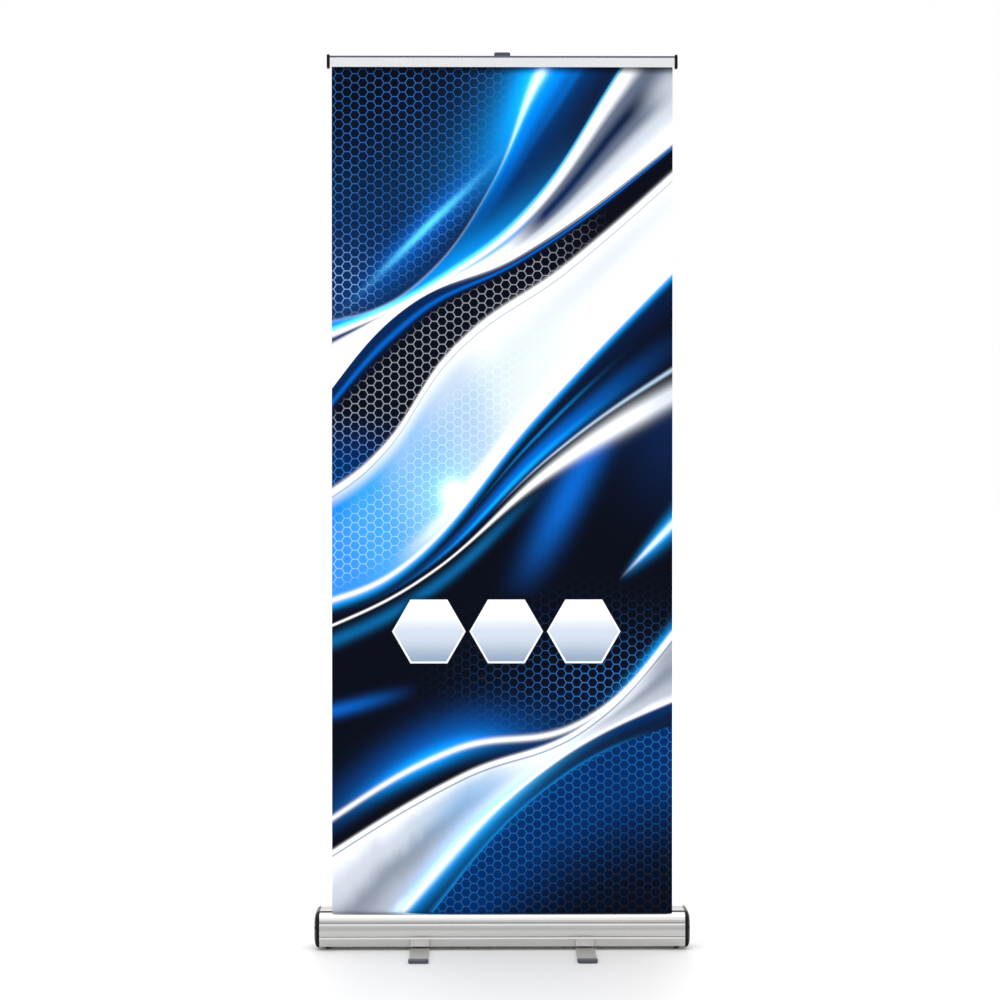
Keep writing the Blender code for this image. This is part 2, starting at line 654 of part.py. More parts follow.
def build_spring(start, end, materials, body):
    """The torsion spring: a wire helix round the spindle, between its hub and the anchor."""
    points_per_turn = 9
    count = SPRING_TURNS * points_per_turn
    curve = bpy.data.curves.new("torsion_spring", "CURVE")
    curve.dimensions = "3D"
    curve.bevel_depth = SPRING_WIRE_RADIUS
    curve.bevel_resolution = 1
    curve.use_fill_caps = True
    spline = curve.splines.new("POLY")
    spline.points.add(count)
    for index, point in enumerate(spline.points):
        angle = math.tau * index / points_per_turn
        x = start + (end - start) * index / count
        y = ROLLER_Y + SPRING_RADIUS * math.cos(angle)
        z = ROLLER_Z + SPRING_RADIUS * math.sin(angle)
        point.co = (x, y, z, 1)
    spring = bpy.data.objects.new("torsion_spring", curve)
    bpy.context.scene.collection.objects.link(spring)
    finish(spring, materials["steel"], body)


def build_sheet(materials, body):
    """The raised banner, from its tangent point on the roll up into the rail's clamp."""
    top = RAIL_TOP_Z - SHEET_BELOW_TOP
    half = BANNER_WIDTH / 2
    sheet = block("banner_sheet", (-half, SHEET_FRONT_Y, ROLLER_Z), (half, SHEET_REAR_Y, top))
    finish(sheet, materials["print"], body)


# ---------------------------------------------------------------- feet
def foot_cap(name, x, side):
    """One end cap of a foot bar: a rounded nose with a pocket that the bar enters."""
    half = FOOT_WIDTH / 2 + CLEARANCE + FOOT_CAP_WALL
    top = BAR_TOP + CLEARANCE + FOOT_CAP_ROOF
    tip, mouth = side * FOOT_HALF, side * (FOOT_HALF - FOOT_CAP_LENGTH)
    corners = [
        (x - half, mouth, 0),
        (x - half, tip, FOOT_CAP_RADIUS),
        (x + half, tip, FOOT_CAP_RADIUS),
        (x + half, mouth, 0),
    ]
    cap = prism(name, rounded(corners, 6), 0, top, "Z")
    soften(cap, FOOT_CAP_ROUND, 2)
    near, far = sorted((side * (FOOT_HALF - FOOT_CAP_NOSE), mouth - side * TOOL_MARGIN))
    inside = FOOT_WIDTH / 2 + CLEARANCE
    low, high = FOOT_GROUND_GAP - CLEARANCE, BAR_TOP + CLEARANCE
    pocket = block("pocket", (x - inside, near, low), (x + inside, far, high))
    combine(cap, pocket, "DIFFERENCE")
    return cap


def build_foot(name, side, materials, base, body):
    """A swivel foot: its bar and caps, and the pivot screw, washer and nut that hold it."""
    x = side * FOOT_PIVOT_X
    half = FOOT_WIDTH / 2
    corners = [
        (x - half, FOOT_GROUND_GAP, EDGE),
        (x + half, FOOT_GROUND_GAP, EDGE),
        (x + half, BAR_TOP, EDGE),
        (x - half, BAR_TOP, EDGE),
    ]
    reach = FOOT_HALF - FOOT_CAP_NOSE - CLEARANCE
    bar = prism(f"{name}_bar", rounded(corners, 2), -reach, reach, "Y")
    bore = PIVOT_SHAFT_RADIUS + CLEARANCE
    combine(bar, rod("bore", bore, -TOOL_MARGIN, BAR_TOP + TOOL_MARGIN, "Z", (x, 0, 0)), "DIFFERENCE")
    head_top = FOOT_GROUND_GAP + PIVOT_HEAD_HEIGHT
    recess = rod("recess", PIVOT_HEAD_RADIUS + CLEARANCE, -TOOL_MARGIN, head_top + CLEARANCE, "Z", (x, 0, 0))
    combine(bar, recess, "DIFFERENCE")
    finish(bar, materials["anodised"], body)
    finish(foot_cap(f"{name}_cap_front", x, -1), materials["slate_plastic"], body)
    finish(foot_cap(f"{name}_cap_rear", x, 1), materials["slate_plastic"], body)

    washer_low = BAR_TOP + CLEARANCE
    washer_high = washer_low + PIVOT_WASHER_THICKNESS
    washer = ring(
        f"{name}_pivot_washer", bore, PIVOT_WASHER_RADIUS, washer_low, washer_high, "Z", (x, 0, 0)
    )
    finish(washer, materials["nylon"], base)
    nut_low = FLOOR_Z + CLEARANCE
    nut_high = nut_low + NUT_HEIGHT
    head_low = head_top - PIVOT_HEAD_HEIGHT + CLEARANCE
    shaft_top = nut_high + EDGE
    profile = [
        (0, head_low),
        (PIVOT_HEAD_RADIUS, head_low),
        (PIVOT_HEAD_RADIUS, head_top),
        (PIVOT_SHAFT_RADIUS, head_top),
        (PIVOT_SHAFT_RADIUS, shaft_top),
        (0, shaft_top),
    ]
    finish(turned(f"{name}_pivot_screw", profile, "Z", (x, 0, 0)), materials["steel"], base)
    nut = rod(f"{name}_pivot_nut", NUT_RADIUS, nut_low, nut_high, "Z", (x, 0, 0), 6)
    thread = rod("thread", bore, nut_low - TOOL_MARGIN, nut_high + TOOL_MARGIN, "Z", (x, 0, 0))
    combine(nut, thread, "DIFFERENCE")
    finish(nut, materials["steel"], base)


# ---------------------------------------------------------------- pole
def build_socket(materials, base):
    """The sleeve in the cassette's rear strip, and the plug by which the pole stands in it."""
    place = (0, POLE_Y, 0)
    seat = CASSETTE_TOP + CLEARANCE
    flange_top = seat + SOCKET_FLANGE
    foot = seat - SOCKET_DEPTH
    profile = [
        (SOCKET_BORE_RADIUS, foot),
        (SOCKET_RADIUS, foot),
        (SOCKET_RADIUS, seat),
        (SOCKET_FLANGE_RADIUS, seat),
        (SOCKET_FLANGE_RADIUS, flange_top - FINE_EDGE),
        (SOCKET_FLANGE_RADIUS - FINE_EDGE, flange_top),
        (SOCKET_BORE_RADIUS, flange_top),
    ]
    finish(turned("pole_socket", profile, "Z", place), materials["slate_plastic"], base)
    plug_seat = flange_top + CLEARANCE
    peg = SOCKET_BORE_RADIUS - CLEARANCE
    outer, inner = TUBE_RADII[0], TUBE_RADII[0] - POLE_WALL - CLEARANCE
    tube_seat = plug_seat + POLE_PLUG_FLANGE
    profile = [
        (0, plug_seat - PEG_LENGTH),
        (peg * 0.8, plug_seat - PEG_LENGTH),
        (peg, plug_seat - PEG_LENGTH + 3 * EDGE),
        (peg, plug_seat),
        (outer, plug_seat),
        (outer, tube_seat),
        (inner, tube_seat),
        (inner, tube_seat + POLE_PLUG_DEPTH),
        (0, tube_seat + POLE_PLUG_DEPTH),
    ]
    finish(turned("pole_base_plug", profile, "Z", place), materials["slate_plastic"], base)


def end_plug(name, radius, bottom, materials, body):
    """The plug that closes a sliding tube's lower end."""
    inner = radius - POLE_WALL - CLEARANCE
    profile = [
        (0, bottom - STAGE_PLUG_CAP - CLEARANCE),
        (radius - EDGE / 2, bottom - STAGE_PLUG_CAP - CLEARANCE),
        (radius, bottom - CLEARANCE - CORNER_EDGE),
        (radius, bottom - CLEARANCE),
        (inner, bottom - CLEARANCE),
        (inner, bottom + POLE_PLUG_DEPTH),
        (0, bottom + POLE_PLUG_DEPTH),
    ]
    finish(turned(name, profile, "Z", (0, POLE_Y, 0)), materials["nylon"], body)


def build_lock(name, tube_radius, top, materials, body, collar_body):
    """A twist lock on a tube's top: a split collet, and the collar that squeezes it."""
    place = (0, POLE_Y, 0)
    sliding = tube_radius - POLE_WALL  # bore of this tube, where the next one slides
    bore = tube_radius + CLEARANCE
    outer = bore + COLLET_WALL
    lip_low = top + CLEARANCE
    lip_top = top + COLLET_RISE + CLEARANCE
    profile = [
        (bore, top - COLLET_DROP),
        (outer, top - COLLET_DROP),
        (outer, lip_low),
        (outer - COLLET_WALL, lip_top),
        (sliding, lip_top),
        (sliding, lip_low),
        (bore, lip_low),
    ]
    collet = turned(f"{name}_collet", profile, "Z", place)
    slit = block(
        "slit",
        (-COLLET_SLIT / 2, POLE_Y, top - COLLET_DROP - TOOL_MARGIN),
        (COLLET_SLIT / 2, POLE_Y + 5 * TOOL_MARGIN, lip_top + TOOL_MARGIN),
    )
    combine(collet, slit, "DIFFERENCE")
    finish(collet, materials["nylon"], body)
    inside = outer + CLEARANCE
    outside = inside + COLLAR_WALL
    ceiling = lip_top + CLEARANCE
    profile = [
        (inside, top - COLLAR_DROP),
        (outside - EDGE, top - COLLAR_DROP),
        (outside, top - COLLAR_DROP + EDGE),
        (outside, top + COLLAR_RISE - COLLAR_TAPER),
        (outside - COLLAR_TAPER, top + COLLAR_RISE),
        (sliding + CLEARANCE, top + COLLAR_RISE),
        (sliding + CLEARANCE, ceiling),
        (inside, ceiling),
    ]
    collar = turned(f"{name}_twist_collar", profile, "Z", place)
    finish(collar, materials["slate_plastic"], collar_body)


def build_pole(materials, base, middle, upper, lower_collar, upper_collar):
    """The three tubes, their plugs and their two twist locks."""
    place = (0, POLE_Y, 0)
    plug_top = CASSETTE_TOP + SOCKET_FLANGE + 2 * CLEARANCE + POLE_PLUG_FLANGE
    bottoms = (plug_top + CLEARANCE, LOWER_TOP - STAGE_OVERLAP, MID_TOP - STAGE_OVERLAP)
    tops = (LOWER_TOP, MID_TOP, UPPER_TOP)
    names = ("pole_lower_tube", "pole_middle_tube", "pole_upper_tube")
    for name, radius, low, high, body in zip(names, TUBE_RADII, bottoms, tops, (base, middle, upper)):
        tube = ring(name, radius - POLE_WALL, radius, low, high, "Z", place)
        if body is upper:
            combine(tube, hook_pin("hole", CLEARANCE), "DIFFERENCE")
        finish(tube, materials["anodised"], body)
    end_plug("pole_middle_plug", TUBE_RADII[1], bottoms[1], materials, middle)
    end_plug("pole_upper_plug", TUBE_RADII[2], bottoms[2], materials, upper)
    build_lock("lower", TUBE_RADII[0], LOWER_TOP, materials, base, lower_collar)
    build_lock("upper", TUBE_RADII[1], MID_TOP, materials, middle, upper_collar)


def hook_pin(name, margin):
    """The cross pin that holds the hook to the upper tube, or the tool for its hole."""
    reach = POLE_TOP_TUBE_RADIUS + CLEARANCE + HOOK_SLEEVE_WALL + (TOOL_MARGIN if margin else 0)
    height = HOOK_BOTTOM + HOOK_TUBE_DEPTH / 2
    return rod(name, HOOK_PIN_RADIUS + margin, -reach, reach, "X", (0, POLE_Y, height), 16)


def build_hook(materials, upper):
    """The hook on the pole: a sleeve, an arm, and a U that stands in the rail's channel."""
    finger_front = CHANNEL_REAR_Y - CLEARANCE - HOOK_PLATE
    plate_front = RAIL_REAR_Y + CLEARANCE
    plate_rear = plate_front + HOOK_PLATE
    floor_top = RAIL_TOP_Z - RAIL_REAR_DROP - CLEARANCE
    floor_low = floor_top - HOOK_FLOOR
    finger_top = RAIL_TOP_Z - RAIL_PLATE - CLEARANCE
    top = RAIL_TOP_Z + HOOK_RISE
    half = HOOK_WIDTH / 2
    plate_low = HOOK_BOTTOM + HOOK_ARM_LIFT - HOOK_CORNER / 2
    corners = [
        (-half, plate_low, HOOK_CORNER),
        (half, plate_low, HOOK_CORNER),
        (half, top, HOOK_CORNER),
        (-half, top, HOOK_CORNER),
    ]
    hook = prism("pole_hook", rounded(corners, 4), plate_front, plate_rear, "Y")
    inset = HOOK_INSET  # keeps the joined blocks' faces out of one plane
    finger_rear = CHANNEL_REAR_Y - CLEARANCE
    finger = block(
        "finger", (-half + inset, finger_front, floor_low + inset), (half - inset, finger_rear, finger_top)
    )
    floor_low_corner = (-half + 2 * inset, finger_rear - inset, floor_low + 2 * inset)
    floor_high_corner = (half - 2 * inset, plate_front + inset, floor_top)
    combine(finger, block("floor", floor_low_corner, floor_high_corner), "UNION", "MANIFOLD")
    combine(hook, finger, "UNION", "MANIFOLD")
    arm_half = HOOK_ARM_WIDTH / 2
    sleeve_top = HOOK_BOTTOM + HOOK_SLEEVE_HEIGHT
    arm_low = (-arm_half, plate_rear - inset, HOOK_BOTTOM + HOOK_ARM_LIFT)
    arm_high = (arm_half, POLE_Y - inset, sleeve_top - inset)
    arm = block("arm", arm_low, arm_high)
    combine(hook, arm, "UNION", "MANIFOLD")
    sleeve_radius = POLE_TOP_TUBE_RADIUS + CLEARANCE + HOOK_SLEEVE_WALL
    sleeve = rod("sleeve", sleeve_radius, HOOK_BOTTOM, sleeve_top, "Z", (0, POLE_Y, 0))
    combine(hook, sleeve, "UNION", "MANIFOLD")
    depth = UPPER_TOP + CLEARANCE
    bore = rod("bore", POLE_TOP_TUBE_RADIUS + CLEARANCE, 0, depth, "Z", (0, POLE_Y, 0))
    combine(hook, bore, "DIFFERENCE", "MANIFOLD")
    combine(hook, hook_pin("hole", CLEARANCE), "DIFFERENCE", "MANIFOLD")
    finish(hook, materials["slate_plastic"], upper)
    finish(hook_pin("hook_pin", 0), materials["steel"], upper)


# ---------------------------------------------------------------- top rail
def rail_outline():
    """Returns the rail's profile: a claw for the jaw, a top plate, two webs and the channel between."""
    top = RAIL_TOP_Z
    under = top - RAIL_PLATE
    meet = math.degrees(math.asin((under - CLAW_Z) / CLAW_RADIUS))
    outline = arc((CLAW_Y, CLAW_Z), CLAW_RADIUS, 190, 90, 6)
    outline += [(RAIL_REAR_Y - CORNER_EDGE, top), (RAIL_REAR_Y, top - CORNER_EDGE)]
    outline += [(RAIL_REAR_Y, top - RAIL_REAR_DROP), (CHANNEL_REAR_Y, top - RAIL_REAR_DROP)]
    outline += [(CHANNEL_REAR_Y, under), (CHANNEL_FRONT_Y, under)]
    web_end = top - RAIL_HEIGHT + EDGE / 2
    outline += [(CHANNEL_FRONT_Y, web_end), (WEB_FRONT_Y, web_end)]
    outline += [(WEB_FRONT_Y, under)]
    outline += arc((CLAW_Y, CLAW_Z), CLAW_RADIUS, meet, -60, 4)
    outline += arc((CLAW_Y, CLAW_Z), CLAW_BORE_RADIUS, -60, 190, 14)
    return outline


def jaw_outline():
    """Returns the clamping jaw's profile: its bead, neck, front plate and gripping lip."""
    centre = (CLAW_Y, CLAW_Z)
    half = JAW_NECK / 2
    bead_angle = math.degrees(math.asin(half / BEAD_RADIUS))
    neck_angle = math.degrees(math.asin(half / JAW_ARC_RADIUS))
    top_arc = arc(centre, JAW_ARC_RADIUS, 270 - neck_angle, 200, 4)
    front = top_arc[-1][0]
    bottom = RAIL_TOP_Z - RAIL_HEIGHT
    lip_y = SHEET_FRONT_Y - CLEARANCE
    shelf = CLAW_Z - JAW_ARC_RADIUS - JAW_WALL
    outline = arc(centre, BEAD_RADIUS, -90 + bead_angle, 270 - bead_angle, 12)
    outline += top_arc
    outline += [(front, bottom + 2 * FINE_EDGE), (front + 2 * FINE_EDGE, bottom)]
    outline += [(lip_y - FINE_EDGE, bottom), (lip_y, bottom + FINE_EDGE)]
    outline += [(lip_y, bottom + JAW_LIP - FINE_EDGE), (lip_y - FINE_EDGE, bottom + JAW_LIP)]
    outline += [(front + JAW_WALL, bottom + JAW_LIP), (front + JAW_WALL, shelf)]
    outline += [(CLAW_Y + half, shelf)]
    return outline


def build_rail(materials, rail, jaw_body):
    """The clamp rail across the banner's top, its hinged jaw and its two end caps."""
    body = prism("top_rail", rail_outline(), -RAIL_HALF, RAIL_HALF)
    finish(body, materials["anodised"], rail)
    jaw_half = RAIL_HALF
    jaw = prism("rail_jaw", jaw_outline(), -jaw_half, jaw_half)
    finish(jaw, materials["anodised"], jaw_body)
    front = CLAW_Y - JAW_ARC_RADIUS - RAIL_CAP_AHEAD
    rear = RAIL_REAR_Y + RAIL_CAP_BEHIND
    low = RAIL_TOP_Z - RAIL_HEIGHT - RAIL_CAP_RISE
    high = RAIL_TOP_Z + RAIL_CAP_RISE
    corners = [(y, z, RAIL_CAP_RADIUS) for y, z in ((front, low), (rear, low), (rear, high), (front, high))]
    spigot = [
        (CHANNEL_FRONT_Y + CLEARANCE, RAIL_TOP_Z - RAIL_REAR_DROP),
        (CHANNEL_REAR_Y - CLEARANCE, RAIL_TOP_Z - RAIL_PLATE - CLEARANCE),
    ]
    for name, side in (("rail_cap_left", -1), ("rail_cap_right", 1)):
        face = RAIL_HALF + CLEARANCE
        start, end = sorted((side * face, side * (face + RAIL_CAP_THICKNESS)))
        cap = prism(name, rounded(corners, 5), start, end)
        soften(cap, RAIL_CAP_ROUND, 2)
        start, end = sorted((side * (face - RAIL_CAP_SPIGOT), side * (face + RAIL_CAP_THICKNESS / 2)))
        tool = block("spigot", (start, *spigot[0]), (end, *spigot[1]))
        combine(cap, tool, "UNION")
        finish(cap, materials["gloss_black"], rail)


# ---------------------------------------------------------------- the whole stand
def main():
    clear_scene()
    materials = {
        "anodised": make_material("anodised_aluminium", (0.72, 0.73, 0.74), 0.32, 1.0),
        "gloss_black": make_material("gloss_black_plastic", (0.012, 0.012, 0.014), 0.12),
        "slate_plastic": make_material("slate_plastic", (0.06, 0.065, 0.075), 0.45),
        "rubber": make_material("black_rubber", (0.02, 0.02, 0.02), 0.7),
        "steel": make_material("zinc_steel", (0.55, 0.56, 0.58), 0.3, 1.0),
        "nylon": make_material("white_nylon", (0.78, 0.78, 0.75), 0.5),
        "brass": make_material("brass", (0.75, 0.55, 0.25), 0.35, 1.0),
        "film": make_material("banner_film_back", (0.55, 0.56, 0.58), 0.5),
        "print": make_material("printed_film", (0.02, 0.05, 0.22), 0.4),
    }
    pole_axis = (0, POLE_Y, 0)
    base = make_body("base", (0, 0, 0))
    left_foot = make_body("left_foot", (-FOOT_PIVOT_X, 0, 0))
    right_foot = make_body("right_foot", (FOOT_PIVOT_X, 0, 0))
    roller = make_body("roller", (0, ROLLER_Y, ROLLER_Z))
    middle = make_body("pole_middle", pole_axis)
    upper = make_body("pole_upper", pole_axis)
    lower_collar = make_body("lower_collar", pole_axis)
    upper_collar = make_body("upper_collar", pole_axis)
    rail = make_body("rail", (0, SHEET_Y, RAIL_TOP_Z))
    jaw = make_body("jaw", (0, CLAW_Y, CLAW_Z))

    build_shell(materials, base)
    for name, side in (("left_end_cap", -1), ("right_end_cap", 1)):
        build_end_cap(name, side, materials, base)
        build_cap_screws(name, side, materials, base)
    build_pads(materials, base)
    build_roller(materials, base, roller)
    build_sheet(materials, base)
    build_foot("left_foot", -1, materials, base, left_foot)
    build_foot("right_foot", 1, materials, base, right_foot)
    build_socket(materials, base)
    build_pole(materials, base, middle, upper, lower_collar, upper_collar)
    build_hook(materials, upper)
    build_rail(materials, rail, jaw)


main()
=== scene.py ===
"""Roll-up banner stand: the printed banner, the finished metal and plastic pieces, the camera and the light.

Everything is in metres in the frame's own axes: +Z up, the banner faces -Y, X runs along the cassette.
Sizes come from the frame's boxes, so each finished piece sits where the frame has its working one.
"""

import json
import logging
import math
from collections.abc import Iterator, Sequence
from contextlib import contextmanager
from dataclasses import dataclass, field
from enum import Enum
from typing import Any

import bpy
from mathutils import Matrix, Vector


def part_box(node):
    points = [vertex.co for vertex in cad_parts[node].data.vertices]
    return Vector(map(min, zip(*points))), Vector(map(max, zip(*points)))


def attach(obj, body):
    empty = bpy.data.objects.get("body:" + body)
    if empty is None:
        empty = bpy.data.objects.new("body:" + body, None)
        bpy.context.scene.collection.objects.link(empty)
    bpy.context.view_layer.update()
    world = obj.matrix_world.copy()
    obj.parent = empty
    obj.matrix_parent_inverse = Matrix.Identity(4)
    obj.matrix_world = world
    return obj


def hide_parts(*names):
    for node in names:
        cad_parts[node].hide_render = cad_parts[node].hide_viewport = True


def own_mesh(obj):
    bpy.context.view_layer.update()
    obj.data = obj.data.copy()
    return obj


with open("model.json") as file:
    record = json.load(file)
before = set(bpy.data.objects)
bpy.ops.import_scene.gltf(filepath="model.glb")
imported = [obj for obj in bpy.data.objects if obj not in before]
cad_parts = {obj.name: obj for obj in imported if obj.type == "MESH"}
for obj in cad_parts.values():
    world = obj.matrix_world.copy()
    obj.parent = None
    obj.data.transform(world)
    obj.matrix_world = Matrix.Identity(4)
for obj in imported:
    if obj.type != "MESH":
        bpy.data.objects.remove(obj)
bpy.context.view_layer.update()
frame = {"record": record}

LOG = logging.getLogger("banner_stand")
Point = tuple[float, float]
Colour = tuple[float, float, float]
Point3 = tuple[float, float, float]

GAP = 0.0003  # running gap between neighbouring pieces
TOOL = 0.010  # a cutting tool runs this far past the piece
MERGE = 1e-6  # points nearer than this are one


# ------------------------------------------------------------------ shader maths
class Value:
    """A number in a shader, with Python's arithmetic."""

    def __init__(self, graph: "Graph", source: Any) -> None:
        """Wraps a socket or a plain number.

        Args:
            graph: the graph that new nodes go to.
            source: an output socket or a float.
        """
        self.graph = graph
        self.source = source

    def __add__(self, other: Any) -> "Value":
        """Returns this plus the other."""
        return self.graph.math("ADD", self, other)

    def __radd__(self, other: Any) -> "Value":
        """Returns the other plus this."""
        return self.graph.math("ADD", other, self)

    def __sub__(self, other: Any) -> "Value":
        """Returns this less the other."""
        return self.graph.math("SUBTRACT", self, other)

    def __rsub__(self, other: Any) -> "Value":
        """Returns the other less this."""
        return self.graph.math("SUBTRACT", other, self)

    def __mul__(self, other: Any) -> "Value":
        """Returns this times the other."""
        return self.graph.math("MULTIPLY", self, other)

    def __rmul__(self, other: Any) -> "Value":
        """Returns the other times this."""
        return self.graph.math("MULTIPLY", other, self)

    def __truediv__(self, other: Any) -> "Value":
        """Returns this over the other."""
        return self.graph.math("DIVIDE", self, other)

    def __rtruediv__(self, other: Any) -> "Value":
        """Returns the other over this."""
        return self.graph.math("DIVIDE", other, self)

    def __neg__(self) -> "Value":
        """Returns this with its sign turned."""
        return self.graph.math("MULTIPLY", self, -1.0)

    def __pow__(self, other: Any) -> "Value":
        """Returns this to the power of the other."""
        return self.graph.math("POWER", self, other)

    def __abs__(self) -> "Value":
        """Returns this without its sign."""
        return self.graph.math("ABSOLUTE", self)

    def step(self, low: Any, high: Any, first: float = 0.0, last: float = 1.0) -> "Value":
        """Returns a smooth step from first at low to last at high."""
        inputs = {"Value": self, "From Min": low, "From Max": high, "To Min": first, "To Max": last}
        return self.graph.node("MapRange", inputs, interpolation_type="SMOOTHSTEP")

    def bell(self, width: Any) -> "Value":
        """Returns a bell curve that is 1 where this value is 0, and falls off over width."""
        ratio = self / width
        return self.graph.math("EXPONENT", -(ratio * ratio))


class Graph:
    """A node tree, built with expressions."""

    def __init__(self, owner: bpy.types.Material | bpy.types.World) -> None:
        """Empties the owner's node tree and gives it an output.

        Args:
            owner: the material or world whose nodes are to be made.
        """
        owner.use_nodes = True
        self.owner = owner
        self.tree = owner.node_tree
        self.tree.nodes.clear()
        kind = "World" if isinstance(owner, bpy.types.World) else "Material"
        self.output = self.tree.nodes.new(f"ShaderNodeOutput{kind}")

    @classmethod
    def material(cls, name: str) -> "Graph":
        """Returns the graph of a new material."""
        return cls(bpy.data.materials.new(name))

    def put(self, socket: Any, value: Any) -> None:
        """Links a value to an input socket, or sets the socket's own number or colour.

        Args:
            socket: the input socket.
            value: a Value, a socket, a number or a colour.
        """
        source = value.source if isinstance(value, Value) else value
        if isinstance(source, bpy.types.NodeSocket):
            self.tree.links.new(source, socket)
        elif socket.type == "RGBA" and len(source) == 3:
            socket.default_value = (*source, 1.0)
        else:
            socket.default_value = source

    def node(self, kind: str, inputs: dict[Any, Any] | None = None, out: Any = 0, **settings: Any) -> Value:
        """Adds a shader node.

        Args:
            kind: the node's type without the ShaderNode prefix.
            inputs: values by input name or index.
            out: the output to return, by name or index.
            **settings: the node's own properties.

        Returns:
            The chosen output.
        """
        made = self.tree.nodes.new(f"ShaderNode{kind}")
        for name, setting in settings.items():
            setattr(made, name, setting)
        for name, value in (inputs or {}).items():
            self.put(made.inputs[name], value)
        return Value(self, made.outputs[out])

    def math(self, operation: str, *values: Any) -> Value:
        """Returns the result of one maths operation."""
        return self.node("Math", dict(enumerate(values)), operation=operation)

    def mix(self, first: Any, second: Any, share: Any, blend: str = "MIX") -> Value:
        """Returns the first colour with the second mixed in, or added with blend ADD."""
        inputs = {0: share, 6: first, 7: second}
        return self.node("Mix", inputs, out=2, data_type="RGBA", blend_type=blend, clamp_factor=True)

    def glow(self, base: Any, colour: Colour, amount: Any) -> Value:
        """Returns the base colour with light of one colour added."""
        return self.mix(base, colour, amount, "ADD")

    def ramp(self, place: Any, stops: Sequence[tuple[float, Colour]]) -> Value:
        """Returns a colour ramp read at a place from 0 to 1.

        Args:
            place: where the ramp is read.
            stops: places with their colours, in order.

        Returns:
            The ramp's colour.
        """
        made = self.tree.nodes.new("ShaderNodeValToRGB")
        made.color_ramp.interpolation = "EASE"
        elements = made.color_ramp.elements
        while len(elements) < len(stops):
            elements.new(0.5)
        for element, (at, colour) in zip(elements, stops):
            element.position = at
            element.color = (*colour, 1.0)
        self.put(made.inputs[0], place)
        return Value(self, made.outputs[0])

    def curve(self, place: Any, points: Sequence[Point]) -> Value:
        """Returns the height of a smooth curve through points, read at a place from 0 to 1.

        Args:
            place: where the curve is read.
            points: places with their heights, in order.

        Returns:
            The curve's height.
        """
        low, span = -0.2, 1.4
        made = self.tree.nodes.new("ShaderNodeFloatCurve")
        line = made.mapping.curves[0]
        for _ in points[2:]:
            line.points.new(0.5, 0.5)
        for handle, (along, height) in zip(line.points, points):
            handle.location = (along, (height - low) / span)
        made.mapping.update()
        self.put(made.inputs["Value"], place)
        return Value(self, made.outputs[0]) * span + low

    def noise(self, vector: Any, scale: float, detail: float = 3.0, roughness: float = 0.5) -> Value:
        """Returns noise from 0 to 1 at a point."""
        inputs = {"Vector": vector, "Scale": scale, "Detail": detail, "Roughness": roughness}
        return self.node("TexNoise", inputs)

    def split(self, vector: Value) -> tuple[Value, ...]:
        """Returns a vector's X, Y and Z.

        Args:
            vector: the vector to take apart.

        Returns:
            Its three parts.
        """
        parts = self.tree.nodes.new("ShaderNodeSeparateXYZ")
        self.put(parts.inputs[0], vector)
        return tuple(Value(self, output) for output in parts.outputs)

    def hexagon(self, across: Value, up: Value) -> Value:
        """Returns the distance from a flat-topped hexagon's centre, 0.5 on its edge at size 1."""
        flat, tall = abs(up), abs(across)
        return self.math("MAXIMUM", flat, tall * math.cos(math.pi / 6) + flat * 0.5)

    def object_point(self) -> Value:
        """Returns the point on the surface in the piece's own metres."""
        return self.node("TexCoord", out="Object")

    def stretched(self, scale: Point3) -> Value:
        """Returns the surface point scaled along each axis."""
        inputs = {"Vector": self.object_point(), "Scale": scale}
        return self.node("Mapping", inputs)

    def bump(self, height: Any, distance: float, strength: float = 1.0) -> Value:
        """Returns a normal raised by a height in 0 to 1 times a distance in metres."""
        return self.node("Bump", {"Height": height, "Distance": distance, "Strength": strength})

    def surface(self, **inputs: Any) -> bpy.types.Material:
        """Ends the graph in a Principled shader.

        Args:
            **inputs: the shader's inputs, with underscores for spaces.

        Returns:
            The material.
        """
        titles = {name: name.replace("_", " ").title().replace("Ior", "IOR") for name in inputs}
        named = {titles[name]: value for name, value in inputs.items()}
        shader = self.node("BsdfPrincipled", named)
        self.tree.links.new(shader.source, self.output.inputs["Surface"])
        return self.owner


class Grain(Enum):
    """The direction in which a metal was drawn or rolled."""

    ALONG_X = (2.0, 260.0, 260.0)
    ALONG_Y = (260.0, 2.0, 260.0)
    ALONG_Z = (260.0, 260.0, 2.0)
    ROUND = (90.0, 90.0, 90.0)


# ------------------------------------------------------------------ finishes
@dataclass(frozen=True)
class Metal:
    """A metal finish with fine drawn lines, cloudy roughness, faint handling marks and painted shade along
    any grooves it is given.
    """

    name: str
    colour: Colour
    roughness: float
    grain: Grain
    wear: float = 0.05
    grooves: tuple[Point, ...] = ()  # heights of grooves darkened with painted shade, each with its half width
    groove_shade_tone: Colour = (0.15, 0.15, 0.18)
    groove_shade_faces: Point = (-0.030, -0.036)  # the painted groove shade fades in between these two depths

    def build(self) -> bpy.types.Material:
        """Builds the finish's material.

        Returns:
            The material.
        """
        g = Graph.material(self.name)
        lines = g.noise(g.stretched(self.grain.value), 6.0, 4.0, 0.6)
        clouds = g.noise(g.object_point(), 7.0, 4.0)
        marks = g.noise(g.object_point(), 160.0, 2.0).step(0.62, 0.78)
        dark = tuple(part * 0.84 for part in self.colour)
        colour = g.mix(self.colour, dark, lines.step(0.35, 0.75) * 0.35 + clouds * 0.12)
        # Painted shade along the grooves, on the front faces only.
        if self.grooves:
            _, depth, up = g.split(g.object_point())
            front = depth.step(*self.groove_shade_faces)
            for height, half in self.grooves:
                colour = g.mix(colour, self.groove_shade_tone, (up - height).bell(half) * front * 0.75)
        rough = lines * 0.10 + clouds * 0.08 + marks * self.wear + (self.roughness - 0.09)
        normal = g.bump(lines, 0.00004, 0.5)
        return g.surface(
            base_color=colour, metallic=1.0, roughness=rough, anisotropic=0.45, normal=normal
        )


